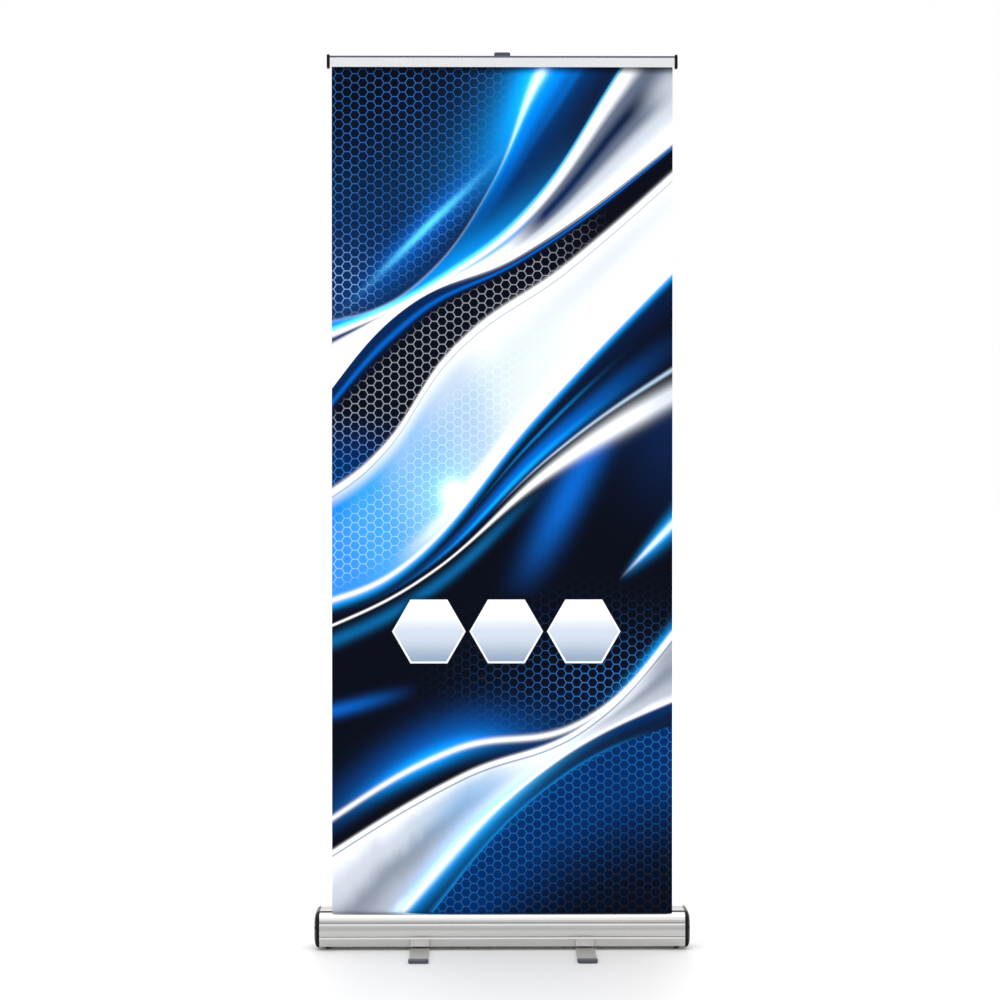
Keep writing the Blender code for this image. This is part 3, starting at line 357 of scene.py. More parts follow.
@dataclass(frozen=True)
class Plastic:
    """A moulded plastic: glossy or textured, with fine dust and rubbed patches."""

    name: str
    colour: Colour
    roughness: float
    texture: float = 0.5
    shine: float = 0.35

    def build(self) -> bpy.types.Material:
        """Builds the finish's material.

        Returns:
            The material.
        """
        g = Graph.material(self.name)
        pebble = g.noise(g.object_point(), 1400.0, 2.0)
        rub = g.noise(g.object_point(), 22.0, 4.0).step(0.45, 0.75)
        dust = g.noise(g.object_point(), 420.0, 2.0).step(0.66, 0.8)
        pale = tuple(min(1.0, part * 1.5 + 0.012) for part in self.colour)
        colour = g.mix(self.colour, pale, rub * 0.35 + dust * 0.25)
        rough = rub * 0.07 + dust * 0.10 + pebble * 0.05 + (self.roughness - 0.04)
        normal = g.bump(pebble, 0.00003 * self.texture, 0.6)
        return g.surface(
            base_color=colour, roughness=rough, normal=normal, specular_ior_level=self.shine
        )


@dataclass(frozen=True)
class FilmBack:
    """The grey block-out back of the banner film, with its faint weave."""

    name: str = "banner_back"
    colour: Colour = (0.40, 0.41, 0.43)

    def build(self) -> bpy.types.Material:
        """Builds the finish's material.

        Returns:
            The material.
        """
        g = Graph.material(self.name)
        across = g.noise(g.stretched((900.0, 900.0, 40.0)), 1.0, 2.0)
        along = g.noise(g.stretched((40.0, 900.0, 900.0)), 1.0, 2.0)
        clouds = g.noise(g.object_point(), 5.0, 4.0)
        weave = (across + along) * 0.5
        pale = tuple(part * 1.18 for part in self.colour)
        colour = g.mix(self.colour, pale, weave * 0.5 + clouds * 0.3)
        normal = g.bump(weave, 0.00005, 0.5)
        return g.surface(base_color=colour, roughness=clouds * 0.12 + 0.42, normal=normal)


class Line(Enum):
    """The print's curves: height as a share of the visible banner, over the share of its width."""

    STREAK = ((0.0, 0.70), (0.25, 0.80), (0.5, 0.90), (1.0, 1.15))
    AZURE = ((0.0, 0.70), (0.28, 0.755), (0.48, 0.87), (0.62, 1.0), (1.0, 1.19))
    SWEEP = ((0.0, 0.685), (0.33, 0.75), (0.60, 0.84), (0.86, 1.0), (1.0, 1.08))
    UPPER = ((0.0, 0.62), (0.20, 0.71), (0.56, 0.78), (1.0, 0.91))
    LEAF = ((0.0, 0.50), (0.16, 0.555), (0.34, 0.66), (0.70, 0.77), (1.0, 0.875))
    PALE = ((0.0, 0.37), (0.24, 0.42), (0.60, 0.59), (1.0, 0.76))
    RIBBON = ((0.0, 0.34), (0.30, 0.405), (0.65, 0.53), (1.0, 0.62))
    WAVE = ((0.0, 0.11), (0.35, 0.19), (0.76, 0.23), (1.0, 0.33))
    SILVER = ((0.0, 0.07), (0.38, 0.16), (0.76, 0.224), (1.0, 0.325))
    FLASH = ((0.0, -0.12), (0.25, 0.02), (0.58, 0.155), (1.0, 0.25))
    CORNER = ((0.0, -0.18), (0.30, 0.0), (0.60, 0.135), (1.0, 0.22))


class Canvas:
    """What the print is drawn with: its coordinates u and s, its honeycomb, its clouds and its curves."""

    def __init__(self, g: Graph, columns: float, rows: float) -> None:
        """Reads the banner's own coordinates and draws what the whole print shares.

        Args:
            g: the material's graph.
            columns: honeycomb cells across the banner's width.
            rows: honeycomb cells up its visible height.
        """
        place = g.node("TexCoord", out="UV")
        self.g = g
        self.u, self.s, _ = g.split(place)
        self.mesh = self.honeycomb(columns, rows)
        self.fine = g.noise(place, 9.0, 3.0)
        self.line = {each: g.curve(self.u, each.value) for each in Line}
        self.rise = {each: self.s - height for each, height in self.line.items()}

    def honeycomb(self, columns: float, rows: float) -> Value:
        """Returns the honeycomb's lines: 1 on a line, 0 inside a cell.

        Args:
            columns: cells across the banner's width.
            rows: cells up its visible height.

        Returns:
            The lines, with soft edges.
        """
        root = math.sqrt(3)
        x, z = self.u * columns + 20.0, self.s * rows + 20.0  # kept positive for the modulo
        centres = []
        for along, up in ((x, z), (x + root / 2, z + 0.5)):
            cell_x = self.g.math("MODULO", along, root) - root / 2
            centres.append(self.g.hexagon(cell_x, self.g.math("MODULO", up, 1.0) - 0.5))
        return self.g.math("MINIMUM", *centres).step(0.425, 0.485)

    def share(self, upper: Line, lower: Line, least: float = 0.002) -> Value:
        """Returns how far a point is from one curve down to the next, as a share of their gap."""
        return (-self.rise[upper]) / (self.line[upper] - self.line[lower] + least)

    def below(self, art: Value, field: Value, line: Line, blur: float = 0.001) -> Value:
        """Returns the artwork with a field laid over all that is below a curve."""
        return self.g.mix(art, field, self.rise[line].step(blur, -blur))

    def column(self, centre: float, width: float) -> Value:
        """Returns a bell across the banner's width."""
        return (self.u - centre).bell(width)


@dataclass(frozen=True)
class Print:
    """The banner's print: blue and silver waves over honeycomb mesh, with three blank bevelled tiles.

    Each layer is drawn over the ones before it, from the top of the banner down.
    """

    width: float
    height: float
    name: str = "banner_print"
    black: Colour = (0.002, 0.003, 0.008)
    night: Colour = (0.003, 0.012, 0.045)
    navy: Colour = (0.001, 0.022, 0.11)
    blue: Colour = (0.0, 0.12, 0.56)
    azure: Colour = (0.0, 0.33, 0.92)
    cyan: Colour = (0.12, 0.72, 1.0)
    pale: Colour = (0.48, 0.66, 0.86)
    white: Colour = (0.93, 0.96, 1.0)
    slate: Colour = (0.11, 0.14, 0.21)
    silver: Colour = (0.56, 0.61, 0.69)
    mesh_blue: Colour = (0.03, 0.20, 0.62)
    cell: float = 0.0215  # one honeycomb cell across its flats
    tile: float = 0.150  # one tile across its flats
    tile_spacing: float = 0.182
    tile_place: Point = (0.512, 0.332)  # the middle tile, as shares of the width and height

    def build(self) -> bpy.types.Material:
        """Builds the material, slightly woven and matt.

        Returns:
            The material.
        """
        g = Graph.material(self.name)
        weave = g.noise(g.stretched((700.0, 700.0, 700.0)), 1.0, 2.0)
        clouds = g.noise(g.object_point(), 4.0, 3.0)
        rough = weave * 0.05 + clouds * 0.07 + 0.36
        normal = g.bump(weave, 0.00002, 0.35)
        return g.surface(base_color=self.colour(g), roughness=rough, normal=normal, specular_ior_level=0.02)

    def colour(self, g: Graph) -> Value:
        """Returns the print's colour over the banner's own coordinates.

        Args:
            g: the material's graph.

        Returns:
            The colour, with painted shadow just under the rail.
        """
        c = Canvas(g, self.width / self.cell, self.height / self.cell)
        layers = (
            self.azure_to_sweep, self.sweep_to_upper, self.leaf, self.pale_band,
            self.dark_middle, self.wave, self.silver_fold, self.corner, self.tiles,
        )
        art = self.top_left(c)
        for layer in layers:
            art = layer(c, art)
        # Painted shadow of the rail along the top of the print.
        return g.mix(art, self.black, c.s.step(0.990, 1.0, 0.0, 0.75))

    def tiles(self, c: Canvas, art: Value) -> Value:
        """Adds three blank silver hexagonal tiles with bright bevelled rims.

        Args:
            c: the canvas.
            art: the artwork so far.

        Returns:
            The artwork with the tiles on it.
        """
        g = c.g
        middle, row = self.tile_place
        z = (c.s - row) * (self.height / self.tile)
        shade = g.ramp(z + 0.5, [(0.0, (0.26, 0.34, 0.46)), (0.45, (0.55, 0.62, 0.72)), (0.9, (0.93,) * 3)])
        for index in (-1, 0, 1):
            x = (c.u - middle) * (self.width / self.tile) - index * self.tile_spacing / self.tile
            edge = g.hexagon(x, z)
            art = g.mix(art, self.black, edge.step(0.62, 0.48, 0.0, 0.6))
            art = g.mix(art, self.white, edge.step(0.504, 0.494))
            art = g.mix(art, shade, edge.step(0.478, 0.466))
        return art

    def top_left(self, c: Canvas) -> Value:
        """Draws the dark honeycomb field at the top left, with its cyan streak.

        Args:
            c: the canvas.

        Returns:
            The first layer of the artwork.
        """
        g, above = c.g, c.rise[Line.AZURE]
        near = above.step(0.40, 0.0)
        top = near**8.0 * c.s.step(0.80, 1.0)
        art = g.mix(self.black, self.night, near.step(0.2, 0.9))
        art = g.mix(art, self.azure, top)
        art = g.mix(art, self.blue, c.s.step(0.88, 0.75, 0.0, 0.10) * near**2.0)
        lines = c.mesh * (c.fine * 1.1 + 0.25) * above.step(0.0, 0.03)
        art = g.mix(art, (0.025, 0.16, 0.54), lines * (0.85 - top * 0.6))
        spark = c.u.step(0.18, 0.0) * (c.s - 0.745).bell(0.04)
        art = g.glow(art, self.pale, c.mesh * spark * 0.45)
        streak = c.rise[Line.STREAK]
        art = g.glow(art, self.blue, streak.bell(0.024) * c.column(0.28, 0.16) * 0.6)
        return g.glow(art, self.cyan, streak.bell(0.006) * c.column(0.28, 0.12) * 0.8)

    def azure_to_sweep(self, c: Canvas, art: Value) -> Value:
        """Draws the blue field to the right of the mesh, down to the long white sweep.

        Args:
            c: the canvas.
            art: the artwork so far.

        Returns:
            The artwork with this layer over it.
        """
        g = c.g
        share = c.share(Line.AZURE, Line.SWEEP, 0.004)
        stops = [(0.0, self.azure), (0.20, self.blue), (0.52, self.navy)]
        stops += [(0.82, self.night), (1.0, self.navy)]
        field = g.mix(self.navy, g.ramp(share, stops), c.s.step(0.76, 0.93))
        field = g.glow(field, self.azure, c.rise[Line.SWEEP].bell(0.03) * c.u.step(0.75, 0.35) * 0.8)
        field = g.glow(field, self.blue, (share - 0.45).bell(0.05) * c.s.step(0.84, 1.0) * 0.35)
        art = c.below(art, field, Line.AZURE, 0.002)
        tip = c.s.step(0.86, 1.0)
        art = g.glow(art, self.azure, c.rise[Line.AZURE].bell(0.05) * tip * 0.7)
        return g.glow(art, self.white, c.rise[Line.AZURE].bell(tip * 0.010 + 0.002) * (tip * 0.9 + 0.12))

    def sweep_to_upper(self, c: Canvas, art: Value) -> Value:
        """Draws the white and slate folds between the sweep and the dark band.

        Args:
            c: the canvas.
            art: the artwork so far.

        Returns:
            The artwork with this layer over it.
        """
        g, sweep = c.g, c.rise[Line.SWEEP]
        share = c.share(Line.SWEEP, Line.UPPER)
        stops = [
            (0.0, self.white), (0.10, self.white), (0.27, self.slate), (0.44, self.night),
            (0.58, self.slate), (0.74, self.silver), (0.94, self.white),
        ]
        field = g.ramp(share, stops)
        top_right = c.u.step(0.84, 0.98) * c.s.step(0.93, 0.985)
        field = g.mix(field, g.mix(self.silver, self.slate, (share - 0.3).bell(0.18)), top_right * 0.9)
        field = g.mix(field, self.navy, (share - 0.46).bell(0.12) * c.u.step(0.9, 0.6) * 0.7)
        left = g.mix(self.white, self.azure, (share - 0.25).bell(0.12) * c.u.step(0.2, 0.5) * 0.8)
        left = g.mix(left, self.navy, (share - 0.12).bell(0.07) * c.u.step(0.25, 0.05))
        art = c.below(art, g.mix(left, field, c.u.step(0.48, 0.63)), Line.SWEEP, 0.0012)
        art = g.glow(art, self.cyan, (sweep - 0.005).bell(0.003) * 0.7)
        return g.mix(art, self.white, sweep.bell(0.0028))

    def leaf(self, c: Canvas, art: Value) -> Value:
        """Draws the dark band and its leaf of pale honeycomb.

        Args:
            c: the canvas.
            art: the artwork so far.

        Returns:
            The artwork with this layer over it.
        """
        g, share = c.g, c.share(Line.UPPER, Line.LEAF)
        tone = share.step(0.30, 0.0) * 0.8 + c.u.step(0.3, 0.0) * c.s.step(0.6, 0.52)
        tint = g.mix((0.34, 0.38, 0.44), self.mesh_blue, c.s.step(0.60, 0.53))
        inside = share.step(0.20, 0.36) * c.u.step(0.82, 0.58)
        field = g.mix(g.mix(self.black, self.navy, tone), tint, c.mesh * inside * 0.85)
        art = c.below(art, field, Line.UPPER)
        art = g.mix(art, self.blue, (share - 0.14).bell(0.03) * share.step(0.0, 0.02) * 0.9)
        art = g.mix(art, self.white, (c.rise[Line.UPPER] - 0.003).bell(0.0036) * c.u.step(0.28, 0.5))
        return g.mix(art, self.pale, (share - 0.06).bell(0.012) * c.u.step(0.5, 0.9) * 0.7)

    def pale_band(self, c: Canvas, art: Value) -> Value:
        """Draws the broad band that runs from white at the right to cyan mesh at the lower left.

        Args:
            c: the canvas.
            art: the artwork so far.

        Returns:
            The artwork with this layer over it.
        """
        g, u, s = c.g, c.u, c.s
        share, under = c.share(Line.LEAF, Line.PALE), c.rise[Line.LEAF]
        blush = [(0.0, (0.0, 0.22, 0.80)), (0.20, (0.03, 0.33, 0.84)), (0.42, (0.26, 0.48, 0.78))]
        blush += [(0.66, (0.50, 0.61, 0.75)), (0.86, (0.80, 0.84, 0.90))]
        field = g.ramp(u * 1.25 + s * 1.15 - 0.50, blush)
        field = g.mix(field, self.white, share.step(0.20, 0.0) * 0.85)
        field = g.mix(field, self.silver, (share - 0.28).bell(0.14) * c.column(0.80, 0.25) * 0.5)
        dim = (1.0 - c.mesh) * share.step(0.15, 0.45) * u.step(0.8, 0.3)
        field = g.mix(field, (0.10, 0.36, 0.78), dim * 0.34)
        cells = c.mesh * share.step(0.14, 0.40) * share.step(1.0, 0.75) * u.step(0.80, 0.5)
        field = g.mix(field, (0.62, 0.86, 1.0), cells * 0.5)
        art = c.below(art, field, Line.LEAF)
        art = g.mix(art, self.white, (under + 0.002).bell(0.004))
        art = g.mix(art, self.slate, (under + 0.009).bell(0.0012) * 0.55)
        edge = c.rise[Line.PALE]
        art = g.mix(art, self.white, (edge - 0.012).bell(0.012) * u.step(0.15, 0.4))
        across = (u - 0.357) * 0.40  # in shares of the height, so that the flare is round
        art = g.glow(art, self.azure, across.bell(0.040) * (s - 0.490).bell(0.042) * 0.5)
        flare = across.bell(0.014) * (s - 0.494).bell(0.016)
        return g.glow(art, self.white, flare * edge.step(-0.01, 0.01))

    def dark_middle(self, c: Canvas, art: Value) -> Value:
        """Draws the black middle with its blue folds and the silver ribbon across it.

        Args:
            c: the canvas.
            art: the artwork so far.

        Returns:
            The artwork with this layer over it.
        """
        g, u = c.g, c.u
        share = c.share(Line.PALE, Line.RIBBON)
        field = g.mix(self.black, self.navy, share.step(0.5, 0.0) * 0.5)
        field = g.mix(field, self.blue, (share - 0.62).bell(0.13) * c.column(0.58, 0.26))
        field = g.glow(field, self.azure, (share - 0.70).bell(0.05) * c.column(0.52, 0.2) * 0.9)
        field = g.glow(field, self.azure, (share - 0.35).bell(0.03) * c.column(0.62, 0.12) * 0.5)
        field = g.mix(field, self.pale, (share - 0.83).bell(0.02) * u.step(0.45, 0.7) * 0.8)
        art = c.below(art, c.below(field, self.beams(c), Line.RIBBON), Line.PALE)
        art = g.glow(art, self.azure, (c.rise[Line.PALE] + 0.006).bell(0.006) * 0.8)
        art = g.mix(art, self.white, (c.rise[Line.PALE] + 0.001).bell(0.0034))
        width = u.step(0.35, 0.95) * 0.011 + 0.0014
        ribbon = (c.rise[Line.RIBBON] + width * 0.6) / width
        shine = g.mix(self.white, self.silver, u.step(0.84, 1.0) * 0.8)
        art = g.mix(art, shine, ribbon.bell(1.0) * 1.2)
        return g.glow(art, self.azure, (c.rise[Line.RIBBON] + 0.02).bell(0.008) * u.step(0.65, 0.4) * 0.3)

    def beams(self, c: Canvas) -> Value:
        """Draws the black below the ribbon, with its beam, its ray, its streak and its patch of mesh.

        Args:
            c: the canvas.

        Returns:
            The field's colour.
        """
        g, u, s = c.g, c.u, c.s
        beam = (u - ((s - 0.40) * 1.22 + 0.58)).bell(0.05) * s.step(0.36, 0.50)
        field = g.glow(self.black, self.blue, beam * 0.9)
        field = g.glow(field, self.navy, u.step(0.75, 1.0) * s.step(0.42, 0.60) * 0.5)
        ray = s - (u - 0.826) * 0.42 - 0.386
        field = g.glow(field, self.azure, ray.bell((u - 0.82) * 0.06 + 0.004) * u.step(0.84, 0.97))
        field = g.glow(field, self.white, ray.bell((u - 0.82) * 0.025 + 0.001) * u.step(0.84, 0.95) * 0.8)
        field = g.glow(field, self.blue, (s - u * 0.104 - 0.237).bell(0.008) * u.step(0.27, 0.0) * 0.8)
        patch = c.column(0.80, 0.26) * (s - 0.275).bell(0.055)
        return g.mix(field, self.mesh_blue, c.mesh * patch * 0.9)

    def wave(self, c: Canvas, art: Value) -> Value:
        """Draws the bright upper wave of the lower pair.

        Args:
            c: the canvas.
            art: the artwork so far.

        Returns:
            The artwork with this layer over it.
        """
        g, wave = c.g, c.rise[Line.WAVE]
        art = g.glow(art, self.blue, wave.bell(0.035) * c.column(0.30, 0.26) * 0.9)
        art = c.below(art, g.mix(self.black, self.navy, wave.step(-0.03, 0.0) * 0.9), Line.WAVE)
        art = g.glow(art, self.azure, wave.bell(0.012) * (c.column(0.28, 0.16) + c.column(0.95, 0.1)))
        return g.mix(art, self.white, wave.bell(0.0034))

    def silver_fold(self, c: Canvas, art: Value) -> Value:
        """Draws the silver fold under the wave.

        Args:
            c: the canvas.
            art: the artwork so far.

        Returns:
            The artwork with this layer over it.
        """
        g, share = c.g, c.share(Line.SILVER, Line.FLASH)
        stops = [
            (0.0, self.white), (0.25, self.silver), (0.5, (0.25, 0.29, 0.36)),
            (0.8, (0.42, 0.46, 0.54)), (1.0, self.white),
        ]
        fold = g.ramp(share + (c.fine - 0.5) * 0.25, stops)
        fold = g.mix(fold, self.white, c.column(0.64, 0.17) * 0.85)
        fold = g.mix(fold, (0.18, 0.42, 0.72), c.column(0.40, 0.12) * (share - 0.35).bell(0.25) * 0.7)
        fold = g.mix(fold, self.slate, c.u.step(0.86, 1.0) * share.step(0.8, 0.2) * 0.6)
        art = c.below(art, fold, Line.SILVER)
        art = g.mix(art, self.white, c.rise[Line.SILVER].bell(0.0026))
        return g.mix(art, self.slate, (c.rise[Line.SILVER] + 0.005).bell(0.0012) * 0.8)

    def corner(self, c: Canvas, art: Value) -> Value:
        """Draws the honeycomb corner at the lower right, with the flash along its edge.

        Args:
            c: the canvas.
            art: the artwork so far.

        Returns:
            The artwork with this layer over it.
        """
        g, flash, share = c.g, c.rise[Line.FLASH], c.share(Line.FLASH, Line.CORNER)
        field = g.mix(self.navy, self.night, share.step(0.2, 0.6))
        field = g.glow(field, self.azure, (share - 0.95).bell(0.12) * c.u.step(0.98, 0.7) * 0.5)
        near = c.rise[Line.CORNER].step(-0.22, 0.0)
        cells = g.mix(self.black, self.navy, near**2.0 * 1.6)
        cells = g.mix(cells, (0.01, 0.15, 0.50), c.mesh * (near**1.5 * 0.85 + 0.08) * (c.fine * 0.9 + 0.4))
        art = c.below(art, c.below(field, cells, Line.CORNER), Line.FLASH)
        art = g.glow(art, self.azure, flash.bell(0.022) * c.column(0.36, 0.22) * 0.9)
        art = g.mix(art, self.cyan, flash.bell(0.009) * c.column(0.36, 0.24) * 0.9)
        return g.mix(art, self.white, flash.bell(c.column(0.32, 0.16) * 0.005 + 0.0022))


# ------------------------------------------------------------------ the bench: modelling by hand
class Bench:
    """Modelling steps on one object at a time, as they are done in Blender's edit mode."""

    @staticmethod
    def pick(piece: bpy.types.Object) -> None:
        """Makes a piece the only selected one and the active one.

        Args:
            piece: the piece.
        """
        bpy.ops.object.select_all(action="DESELECT")
        piece.select_set(True)
        bpy.context.view_layer.objects.active = piece

    @classmethod
    @contextmanager
    def editing(cls, piece: bpy.types.Object) -> Iterator[None]:
        """Opens a piece in edit mode with all of it selected, and closes it afterwards.

        Args:
            piece: the piece.

        Yields:
            Nothing, while the piece is open.
        """
        cls.pick(piece)
        bpy.ops.object.mode_set(mode="EDIT")
        bpy.ops.mesh.select_all(action="SELECT")
        yield
        bpy.ops.object.mode_set(mode="OBJECT")

    @staticmethod
    def drawn(name: str, points: Sequence[Sequence[float]], fill: str) -> bpy.types.Object:
        """Returns a circle whose corners are moved onto a closed outline.

        Args:
            name: the new object's name.
            points: the outline's points in order.
            fill: NGON for a filled outline, NOTHING for its edges only.

        Returns:
            The object, with its place in its mesh.
        """
        bpy.ops.object.select_all(action="DESELECT")
        bpy.ops.mesh.primitive_circle_add(vertices=len(points), radius=1.0, fill_type=fill)
        piece = bpy.context.active_object
        piece.name = name
        for vertex, point in zip(piece.data.vertices, points):
            vertex.co = point
        return piece

    @classmethod
    def tidy(cls, piece: bpy.types.Object, angle: float = 30.0) -> bpy.types.Object:
        """Turns the faces outwards and shades round faces smooth.

        Args:
            piece: the piece.
            angle: edges sharper than this, in degrees, stay sharp.

        Returns:
            The same piece.
        """
        with cls.editing(piece):
            bpy.ops.mesh.normals_make_consistent(inside=False)
        bpy.ops.object.shade_smooth_by_angle(angle=math.radians(angle))
        return piece

    @classmethod
    def extruded(cls, name: str, points: Sequence[Sequence[float]], run: Sequence[float]) -> bpy.types.Object:
        """Returns a filled outline extruded along a vector.

        Args:
            name: the new object's name.
            points: the outline's points in order.
            run: the vector.

        Returns:
            The object, with its place in its mesh.
        """
        piece = cls.drawn(name, points, "NGON")
        with cls.editing(piece):
            bpy.ops.mesh.extrude_region_move(TRANSFORM_OT_translate={"value": tuple(run)})
        return cls.tidy(piece)

    @classmethod
    def spun(cls, name: str, profile: Sequence[Point], centre: Point, steps: int = 72) -> bpy.types.Object:
        """Returns a (radius, height) profile spun round an upright axis through an X-Y point.

        Args:
            name: the new object's name.
            profile: its radii and heights in order.
            centre: the axis's X and Y.
            steps: straight pieces in one turn.

        Returns:
            The object, with its place in its mesh.
        """
        points = [(centre[0] + radius, centre[1], height) for radius, height in profile]
        piece = cls.drawn(name, points, "NOTHING")
        with cls.editing(piece):
            bpy.ops.mesh.spin(steps=steps, angle=math.tau, center=(*centre, 0.0), axis=(0, 0, 1))
            bpy.ops.mesh.select_all(action="SELECT")
            bpy.ops.mesh.remove_doubles(threshold=MERGE)
            bpy.ops.mesh.dissolve_degenerate(threshold=MERGE / 10)
        return cls.tidy(piece)

    @classmethod
    def apply(cls, piece: bpy.types.Object) -> None:
        """Applies a piece's modifiers.

        Args:
            piece: the piece.
        """
        cls.pick(piece)
        for modifier in list(piece.modifiers):
            bpy.ops.object.modifier_apply(modifier=modifier.name)

    @classmethod
    def bevel(cls, piece: bpy.types.Object, width: float, segments: int = 3, angle: float = 40.0) -> None:
        """Rounds a piece's sharp edges.

        Args:
            piece: the piece.
            width: the bevel's width.
            segments: faces across the bevel.
            angle: edges sharper than this, in degrees, are rounded.
        """
        modifier = piece.modifiers.new("Bevel", "BEVEL")
        modifier.width = width
        modifier.segments = segments
        modifier.limit_method = "ANGLE"
        modifier.angle_limit = math.radians(angle)
        modifier.use_clamp_overlap = True
        cls.apply(piece)
        cls.tidy(piece)

    @classmethod
    def combine(cls, piece: bpy.types.Object, tool: bpy.types.Object, operation: str) -> None:
        """Joins a tool to a piece, or cuts it away, and removes the tool.

        Args:
            piece: the piece.
            tool: the tool.
            operation: UNION or DIFFERENCE.
        """
        modifier = piece.modifiers.new("Boolean", "BOOLEAN")
        modifier.operation = operation
        modifier.solver = "MANIFOLD"
        modifier.object = tool
        cls.apply(piece)
        bpy.data.objects.remove(tool, do_unlink=True)
        cls.tidy(piece)

    @classmethod
    def rod(cls, low: Sequence[float], high: Sequence[float], radius: float) -> bpy.types.Object:
        """Returns a round tool along X or Z, from the middle of one end to the middle of the other.

        Args:
            low: the middle of one end.
            high: the middle of the other end.
            radius: the tool's radius.

        Returns:
            The tool.
        """
        start, end = Vector(low), Vector(high)
        along_x = abs(end.x - start.x) > abs(end.z - start.z)
        bpy.ops.object.select_all(action="DESELECT")
        bpy.ops.mesh.primitive_cylinder_add(
            vertices=48,
            radius=radius,
            depth=(end - start).length,
            location=(start + end) / 2,
            rotation=(0, math.pi / 2 if along_x else 0, 0),
        )
        return cls.settled()

    @classmethod
    def block(cls, low: Sequence[float], high: Sequence[float]) -> bpy.types.Object:
        """Returns a square tool between two corners.

        Args:
            low: its lowest corner.
            high: its highest corner.

        Returns:
            The tool.
        """
        start, end = Vector(low), Vector(high)
        bpy.ops.object.select_all(action="DESELECT")
        bpy.ops.mesh.primitive_cube_add(size=1, location=(start + end) / 2, scale=end - start)
        return cls.settled()

    @staticmethod
    def settled() -> bpy.types.Object:
        """Applies the new primitive's place, turn and size to its mesh."""
        bpy.ops.object.transform_apply(location=True, rotation=True, scale=True)
        return bpy.context.active_object


def arc(centre: Point, radius: float, start: float, end: float, steps: int) -> list[Point]:
    """Returns points along an arc in degrees, both ends included."""
    angles = [math.radians(start + (end - start) * step / steps) for step in range(steps + 1)]
    return [(centre[0] + radius * math.cos(a), centre[1] + radius * math.sin(a)) for a in angles]


def rounded(corners: Sequence[tuple[float, float, float]], steps: int = 8) -> list[Point]:
    """Returns a closed outline whose corners, given as (u, v, radius), are rounded.

    Args:
        corners: the corners in order, each with its radius.
        steps: straight pieces in each rounded corner.

    Returns:
        The outline's points.
    """
    points: list[Point] = []
    for index, (u, v, radius) in enumerate(corners):
        corner = Vector((u, v))
        if not radius:
            points.append((u, v))
            continue
        before = (Vector(corners[index - 1][:2]) - corner).normalized()
        after = (Vector(corners[(index + 1) % len(corners)][:2]) - corner).normalized()
        half = before.angle(after) / 2
        centre = corner + (before + after).normalized() * radius / math.sin(half)
        first = corner + before * radius / math.tan(half) - centre
        last = corner + after * radius / math.tan(half) - centre
        start = math.atan2(first.y, first.x)
        turn = (math.atan2(last.y, last.x) - start + math.pi) % math.tau - math.pi
        for step in range(steps + 1):
            angle = start + turn * step / steps
            points.append((centre.x + radius * math.cos(angle), centre.y + radius * math.sin(angle)))
    return points


@dataclass
class Box:
    """A node's corners at rest."""

    low: Vector
    high: Vector

    @classmethod
    def of(cls, node: str) -> "Box":
        """Returns a node's box."""
        low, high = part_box(node)
        return cls(Vector(low), Vector(high))

    @property
    def middle(self) -> Vector:
        """The box's centre."""
        return (self.low + self.high) / 2


def place(piece: bpy.types.Object, finish: bpy.types.Material, body: str, slot: str, *nodes: str) -> None:
    """Gives a finished piece its material and its body, and hides the nodes that it stands for.

    Args:
        piece: the piece.
        finish: its material, unless it already has one.
        body: the body that it rides on.
        slot: the slot that the frame knows its material by; not used.
        *nodes: the nodes that it replaces.
    """
    if not any(piece.data.materials):
        piece.data.materials.clear()
        piece.data.materials.append(finish)
    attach(piece, body)
    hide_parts(*nodes)
    LOG.info("%s rides on %s", piece.name, body)


# ------------------------------------------------------------------ finishes by name
@dataclass
class Finishes:
    """Every material, made once."""

    banner_width: float
    banner_height: float
    made: dict[str, bpy.types.Material] = field(default_factory=dict)

    def build(self) -> "Finishes":
        """Makes the materials.

        Returns:
            This set.
        """
        # Heights and half widths of the cassette's front grooves, where shade is painted into the anodised
        # colour.
        grooves = ((0.0322, 0.0009), (0.0652, 0.0016))
        satin: Colour = (0.575, 0.57, 0.56)
        kinds = [
            Metal("anodised_along_x", satin, 0.20, Grain.ALONG_X),
            # The cassette's anodised aluminium with painted shade in its grooves.
            Metal("anodised_painted_groove_shade", (0.545, 0.54, 0.53), 0.17, Grain.ALONG_X, 0.02, grooves),
            # A lighter copy of the anodised aluminium, painted light for the rail jaw's face.
            Metal("anodised_painted_light", (0.83, 0.835, 0.85), 0.22, Grain.ALONG_X),
            Metal("anodised_along_y", satin, 0.33, Grain.ALONG_Y),
            Metal("anodised_along_z", satin, 0.30, Grain.ALONG_Z),
            # A darker copy of the anodised aluminium, painted shade for the rail's claw.
            Metal("anodised_painted_shade", (0.060, 0.070, 0.105), 0.26, Grain.ALONG_X),
            Metal("zinc_steel", (0.56, 0.57, 0.60), 0.30, Grain.ROUND, 0.12),
            Metal("brass", (0.76, 0.57, 0.27), 0.32, Grain.ROUND, 0.12),
            Plastic("gloss_black", (0.004, 0.004, 0.006), 0.20, 0.15, 0.10),
            Plastic("slate_plastic", (0.045, 0.05, 0.062), 0.42, 1.0),
            Plastic("black_rubber", (0.015, 0.015, 0.016), 0.66, 1.6),
            Plastic("white_nylon", (0.72, 0.72, 0.68), 0.46, 0.5),
            FilmBack(),
            Print(self.banner_width, self.banner_height),
        ]
        self.made = {kind.name: kind.build() for kind in kinds}
        return self

    def dress(self, nodes: Sequence[str], name: str) -> None:
        """Gives carried-over nodes one finish.

        Args:
            nodes: the nodes' names.
            name: the finish's name.
        """
        for node in nodes:
            piece = bpy.data.objects[node]
            for slot in piece.material_slots:
                slot.material = self.made[name]
            if not piece.material_slots:
                piece.data.materials.append(self.made[name])
            LOG.info("%s is finished in %s", node, name)


